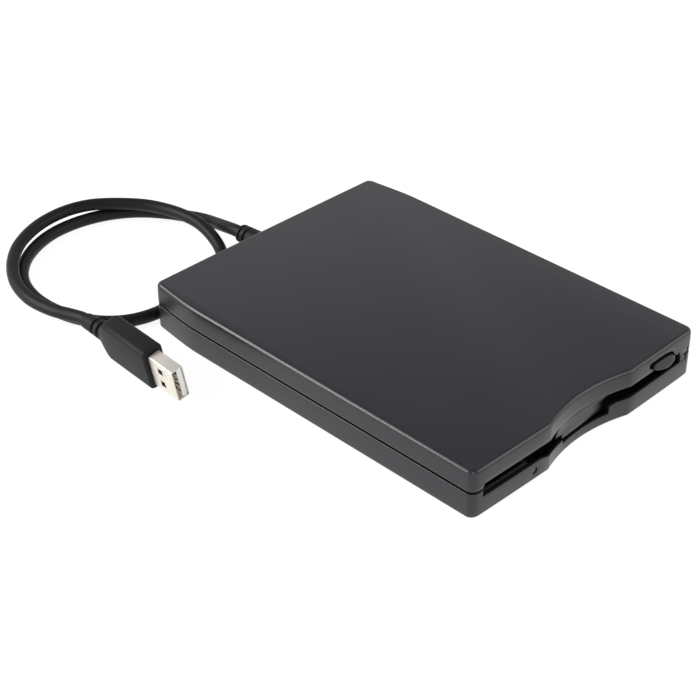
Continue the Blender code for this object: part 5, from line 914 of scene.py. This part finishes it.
def spread(name, form, places, material):
    """A mesh with a copy of a scratch object at each place."""
    mesh = grown(name, spread_tree(material), places, {"Form": form})
    bpy.data.objects.remove(form, do_unlink=True)
    return mesh


def turned(name, material, sizes, places=((0.0, 0.0, 0.0),)):
    """The mesh of a round form of given sizes, at the origin or at places."""
    return grown(name, turned_tree(material), places, sizes)


def make_underside(finishes):
    """The four rubber feet and the two screws that close the case."""
    feet = turned("feet", finishes["foot"], FOOT, [(x, -y, -FOOT["Length"]) for x, y in FEET])
    feet.transform(Matrix.Rotation(pi, 4, "X"))
    new_piece("feet", shaded(feet), finishes["foot"], "case",
              ["foot_front_left", "foot_front_right", "foot_rear_left", "foot_rear_right"])
    steel = finishes["steel"]
    head = scratch("screw_head", turned("screw_head", steel, SCREW_HEAD))
    half_long, half_wide, deep = DRIVE_SLOT
    tall = SCREW_HEAD["Length"]
    slot_plan = block_outline(-half_long, -half_wide, half_long, half_wide)
    slot = cutter("drive_slot", slot_plan, tall - deep, tall + OVERRUN)
    radius, low, high = SCREW_SHANK
    shank = cutter("shank", circle(0.0, 0.0, radius, SMALL_ROUND_STEPS), low, high)
    head = scratch("screw_form", baked(head, [cut(head, slot), cut(head, shank, "UNION")]))
    places = [(x, -y, -SCREW_HEAD_TOP - LIFT) for x, y in CASE_SCREWS]
    screws = spread("case_screws", head, places, steel)
    screws.transform(Matrix.Rotation(pi, 4, "X"))
    new_piece("case_screws", shaded(screws), steel, "case", ["case_screw_left", "case_screw_right"])


def make_light_pipe(finishes):
    mesh = turned("light_guide", finishes["clear"], PIPE)
    tip = (PIPE_X, front_line(PIPE_X) + PIPE_SETBACK + PIPE["Length"], PIPE_HEIGHT + LIFT)
    mesh.transform(Matrix.Translation(tip) @ Matrix.Rotation(pi / 2, 4, "X"))
    new_piece("light_guide", shaded(mesh), finishes["clear"], "case", ["light_pipe"])


def make_relief(finishes):
    mesh = turned("lead_relief", finishes["overmould"], RELIEF)
    mesh.transform(Matrix.Translation(RELIEF_START) @ Matrix.Rotation(-pi / 2, 4, "X"))
    return new_piece("lead_relief", shaded(mesh), finishes["overmould"], "case", ["strain_relief"])


def plug_frame():
    """From the plug's own axes to the scene: it stands on its narrow edge, mouth to the front."""
    upright = Matrix.Rotation(-pi / 2, 4, "X") @ Matrix.Rotation(pi, 4, "Z")
    return (
        Matrix.Translation(PLUG_MOUTH) @ Matrix.Rotation(PLUG_YAW, 4, "Z")
        @ Matrix.Rotation(PLUG_PITCH, 4, "X") @ Matrix.Rotation(-PLUG_ROLL, 4, "Y") @ upright
    )


def rounded(width, height, corner, level, shift=0.0, steps=6):
    """A ring: a rounded rectangle across X and Y at a level."""
    x, y = width / 2 - corner, height / 2 - corner
    ring = []
    for centre_x, centre_y, start in ((x, y, 0.0), (-x, y, pi / 2), (-x, -y, pi), (x, -y, 3 * pi / 2)):
        ring += arc(centre_x, centre_y, corner, start, start + pi / 2, steps)
    return [(a, b + shift, level) for a, b in ring]


def make_grip():
    """The moulded grip: a rounded rim round its front, then a shoulder down to a round neck."""
    thick, wide, long = GRIP
    front = SHELL[2] + PLUG_GAP
    rings = []
    for inset, depth in fillet(GRIP_RIM, 0.0, 1):
        level = front + depth
        rings.insert(0, rounded(thick - 2 * inset, wide - 2 * inset, GRIP_CORNER - inset / 2, level))
    for share in steps_between(0.0, 1.0, SHOULDER_STEPS)[1:]:
        ease = share ** SHOULDER_CURVE
        rings.append(rounded(
            thick + (2 * NECK_RADIUS - thick) * ease, wide + (2 * NECK_RADIUS - wide) * ease,
            GRIP_CORNER + (NECK_CORNER - GRIP_CORNER) * share,
            front + long + SHOULDER * share, -NECK_DROP * share,
        ))
    return mesh_from("plug_grip", lambda form: skin(form, rings))


def make_plug_shell():
    """The plug's folded sheet sleeve, with its four latch holes and the seam in its far side."""
    thick, wide, long = SHELL
    inner = (thick - 2 * SHELL_SHEET, wide - 2 * SHELL_SHEET, SHELL_CORNER - SHELL_SHEET)
    rings = [
        rounded(*inner, long), rounded(*inner, 0.0), rounded(thick, wide, SHELL_CORNER, 0.0),
        rounded(thick, wide, SHELL_CORNER, long),
    ]
    item = skinned("plug_sleeve", rings, close=False)
    close_rings(item.data)
    tools = []
    half = SHELL_HOLE / 2
    for y in (-SHELL_HOLE_Y, SHELL_HOLE_Y):
        hole = block_outline(-thick, y - half, thick, y + half)
        tools.append(cut(item, cutter("latch_hole", hole, SHELL_HOLE_Z - half, SHELL_HOLE_Z + half)))
    deep, half_wide = SHELL_SEAM
    seam = block_outline(-thick, -half_wide, deep - thick / 2, half_wide)
    tools.append(cut(item, cutter("sleeve_seam", seam, -OVERRUN, long + OVERRUN)))
    soften(item, SHELL_EDGE)
    return baked(item, tools)


def close_rings(mesh):
    """Join the first and the last ring of a sleeve, which end at one level."""
    form = bmesh.new()
    form.from_mesh(mesh)
    edges = [edge for edge in form.edges if edge.is_boundary]
    bmesh.ops.bridge_loops(form, edges=edges)
    bmesh.ops.recalc_face_normals(form, faces=form.faces)
    form.to_mesh(mesh)
    form.free()


def make_bed(far_x):
    """The plug's plastic tongue, with a channel for each contact in its open side."""
    thick, wide, long = BED
    ends = (BED_SETBACK, BED_SETBACK + long)
    item = skinned("contact_bed", [rounded(thick, wide, BED_CORNER, level) for level in ends])
    deep, channel = CHANNEL
    tools = []
    for y in CONTACT_PLACES:
        groove = block_outline(thick / 2 - deep, y - channel / 2, thick, y + channel / 2)
        tools.append(cut(item, cutter("channel", groove, CHANNEL_START, SHELL[2])))
    soften(item, FINE_EDGE)
    mesh = baked(item, tools)
    mesh.transform(Matrix.Translation((far_x + thick / 2, 0.0, 0.0)))
    return mesh


def make_contacts(far_x, material):
    """Four springy strips with a bent front end, each in its channel."""
    thick, wide = CONTACT[:2]
    rings = [
        [(x + a, y, level) for a, y in block_outline(0.0, -wide / 2, thick, wide / 2)]
        for x, level in CONTACT_BEND
    ]
    strip = skinned("strip", rings)
    soften(strip, CONTACT_EDGE, segments=1)
    strip = scratch("strip_form", baked(strip))
    bed = far_x + BED[0] - CHANNEL[0] + CONTACT_RISE
    return spread("contact_strips", strip, [(bed, y, CONTACT_START) for y in CONTACT_PLACES], material)


def make_plug(finishes):
    """The plug and its relief, each piece placed by the plug's frame."""
    place = plug_frame()
    far_x = SHELL_SHEET + PLUG_GAP - SHELL[0] / 2
    pieces = {
        "plug_grip": (make_grip(), "overmould", ["plug_overmould"]),
        "plug_sleeve": (make_plug_shell(), "plated", ["plug_shell"]),
        "contact_bed": (make_bed(far_x), "tongue", ["plug_tongue"]),
        "contact_strips": (make_contacts(far_x, finishes["gold"]), "gold",
                           ["plug_contact_1", "plug_contact_2", "plug_contact_3", "plug_contact_4"]),
    }
    made = []
    for name, (mesh, finish, replaced) in pieces.items():
        mesh.transform(place)
        made.append(new_piece(name, shaded(mesh), finishes[finish], "case", replaced))
    start = place @ Vector((0.0, -NECK_DROP, SHELL[2] + GRIP[2] + SHOULDER + 2 * PLUG_GAP))
    run = Vector(CORD_ROUTE[-1]) - start
    relief = turned("plug_neck", finishes["overmould"], {**PLUG_RELIEF, "Length": run.length})
    turn = Vector((0.0, 0.0, 1.0)).rotation_difference(run).to_matrix().to_4x4()
    relief.transform(Matrix.Translation(start) @ turn)
    made.append(new_piece("plug_neck", shaded(relief), finishes["overmould"], "case", ["plug_relief"]))
    return made


def smooth_route(route):
    """Even points on a smooth curve through a route's own points, and the curve's length."""
    route = [Vector(point) for point in route]
    ends = [route[0] * 2 - route[1]] + route + [route[-1] * 2 - route[-2]]
    dense = [route[0]]
    for before, start, end, after in zip(ends, ends[1:], ends[2:], ends[3:]):
        for t in steps_between(0.0, 1.0, ROUTE_STEPS)[1:]:
            leaving = (end - before) / 2 * (t**3 - 2 * t**2 + t)
            reaching = (after - start) / 2 * (t**3 - t**2)
            dense.append(
                start * (2 * t**3 - 3 * t**2 + 1) + leaving + end * (3 * t**2 - 2 * t**3) + reaching
            )
    length = sum((b - a).length for a, b in zip(dense, dense[1:]))
    count = round(length / CORD_SPACING)
    wanted = steps_between(0.0, length, count)[1:-1]
    chosen = [dense[0]]
    run = 0.0
    for a, b in zip(dense, dense[1:]):
        step = (b - a).length
        while wanted and run + step >= wanted[0]:
            chosen.append(a.lerp(b, (wanted.pop(0) - run) / step))
        run += step
    chosen.append(dense[-1])
    return chosen, length


def make_cord(finishes):
    points, length = smooth_route(CORD_ROUTE)
    curve = bpy.data.curves.new("lead", "CURVE")
    curve.dimensions = "3D"
    curve.bevel_depth = CORD_RADIUS
    curve.bevel_resolution = CORD_BEVEL
    curve.use_fill_caps = True
    spline = curve.splines.new("POLY")
    spline.points.add(len(points) - 1)
    for point, place in zip(spline.points, points):
        point.co = (*place, 1.0)
    spline.use_smooth = True
    curve.materials.append(finishes["jacket"])
    cord = bpy.data.objects.new("lead", curve)
    bpy.context.scene.collection.objects.link(cord)
    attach(cord, "case")
    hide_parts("cord")


# Stage

def make_camera():
    back = Vector((sin(AZIMUTH) * cos(ELEVATION), -cos(AZIMUTH) * cos(ELEVATION), sin(ELEVATION)))
    right = Vector((cos(AZIMUTH), sin(AZIMUTH), 0.0))
    up = back.cross(right)
    across = right * cos(ROLL) + up * sin(ROLL)
    above = up * cos(ROLL) - right * sin(ROLL)
    turn = Matrix((across, above, back)).transposed().to_4x4()
    data = bpy.data.cameras.new("camera")
    data.lens = LENS
    data.sensor_width = SENSOR
    data.clip_start, data.clip_end = CLIP
    camera = bpy.data.objects.new("camera", data)
    camera.matrix_world = Matrix.Translation(Vector(AIM) + back * DISTANCE) @ turn
    bpy.context.scene.collection.objects.link(camera)
    bpy.context.scene.camera = camera


def area_light(name, place, size, roll, watts):
    """A softbox that faces the origin, below the middle of the case."""
    data = bpy.data.lights.new(name, "AREA")
    data.shape = "RECTANGLE"
    data.size, data.size_y = size
    data.energy = watts
    lamp = bpy.data.objects.new(name, data)
    facing = (-Vector(place)).to_track_quat("-Z", "Y").to_matrix().to_4x4()
    rolled = Matrix.Rotation(radians(roll), 4, "Z")
    lamp.matrix_world = Matrix.Translation(place) @ facing @ rolled
    bpy.context.scene.collection.objects.link(lamp)


def seen_by(tree, first, *others):
    """1 where a ray is of one of the given kinds."""
    share = node(tree, "ShaderNodeLightPath", out=first)
    for kind in others:
        share = share.math("MAXIMUM", node(tree, "ShaderNodeLightPath", out=kind))
    return share


def make_world():
    """White where it is seen; as a light, a bright band between a dim horizon and a darker sky."""
    world = bpy.data.worlds.new("studio")
    bpy.context.scene.world = world
    world.use_nodes = True
    tree = world.node_tree
    direction = node(tree, "ShaderNodeTexCoord")
    height = node(tree, "ShaderNodeSeparateXYZ", None, direction, out=Z_OUTPUT)
    ease = {"interpolation_type": "SMOOTHSTEP"}
    sky = node(tree, "ShaderNodeMapRange", ease, height, *HORIZON_BAND, HORIZON_LEVEL, ZENITH_LEVEL)
    sky = sky * node(tree, "ShaderNodeMapRange", ease, height, *HAZE_BAND, HAZE_LEVEL, 1.0)
    seen = seen_by(tree, CAMERA_RAY, GLASS_RAY)
    level = sky + seen * (1.0 - sky)
    background = tree.nodes["Background"]
    tree.links.new(blend(tree, SKY, WHITE, seen).output, background.inputs["Color"])
    tree.links.new(level.output, background.inputs["Strength"])


def make_floor():
    """A pale floor that looks white and still takes the object's shadow."""
    corners = block_outline(-FLOOR_HALF, -FLOOR_HALF, FLOOR_HALF, FLOOR_HALF)
    mesh = mesh_from("floor", lambda form: form.faces.new(
        [form.verts.new((x, y, 0.0)) for x, y in corners]))
    floor = scratch("floor", mesh)
    finish = bpy.data.materials.new("floor")
    finish.use_nodes = True
    tree = finish.node_tree
    tree.nodes.clear()
    plain = node(tree, "ShaderNodeBsdfDiffuse", None, (*[FLOOR_PAINT] * 3, 1.0))
    dim = node(tree, "ShaderNodeBsdfDiffuse", None, (*[SHADOW_SHARE] * 3, 1.0))
    glow = node(tree, "ShaderNodeEmission", None, Strength=1.0 - SHADOW_SHARE / 2)
    white = node(tree, "ShaderNodeAddShader", None, dim, glow)
    seen = seen_by(tree, CAMERA_RAY, GLOSSY_RAY, GLASS_RAY)
    mixed = node(tree, "ShaderNodeMixShader", None, seen, plain, white)
    out = tree.nodes.new("ShaderNodeOutputMaterial")
    tree.links.new(mixed.output, out.inputs["Surface"])
    mesh.materials.append(finish)


def make_stage():
    make_world()
    make_floor()
    for light in LIGHTS:
        area_light(*light)


SLOT_FINISH = {
    "shell_black": "shell", "door_black": "door", "button_black": "button", "rubber": "overmould",
    "foot_rubber": "foot", "sheet_steel": "sheet", "steel": "steel", "plated_shell": "plated",
    "brass": "brass", "gold": "gold", "white_plastic": "tongue", "inner_plastic": "inner",
    "chip_black": "chip", "board_green": "board", "ceramic": "ceramic", "flex_film": "film",
    "light_pipe": "clear",
}


def dress_nodes(finishes):
    """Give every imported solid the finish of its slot."""
    slots = {part["node"]: part["material_slot"] for part in frame["record"]["subparts"]}
    for name, item in frame["nodes"].items():
        for slot in item.material_slots:
            slot.material = finishes[SLOT_FINISH[slots[name]]]


def write_sizes():
    import json


make_camera()
finishes = make_finishes()
dress_nodes(finishes)
make_top_cover(finishes)
make_bottom_cover(finishes)
make_slot_trim(finishes)
make_door(finishes)
make_button(finishes)
make_underside(finishes)
make_light_pipe(finishes)
on_cord = [make_relief(finishes)] + make_plug(finishes)
make_cord(finishes)
make_stage()
bpy.context.scene.view_settings.view_transform = "Standard"
write_sizes()
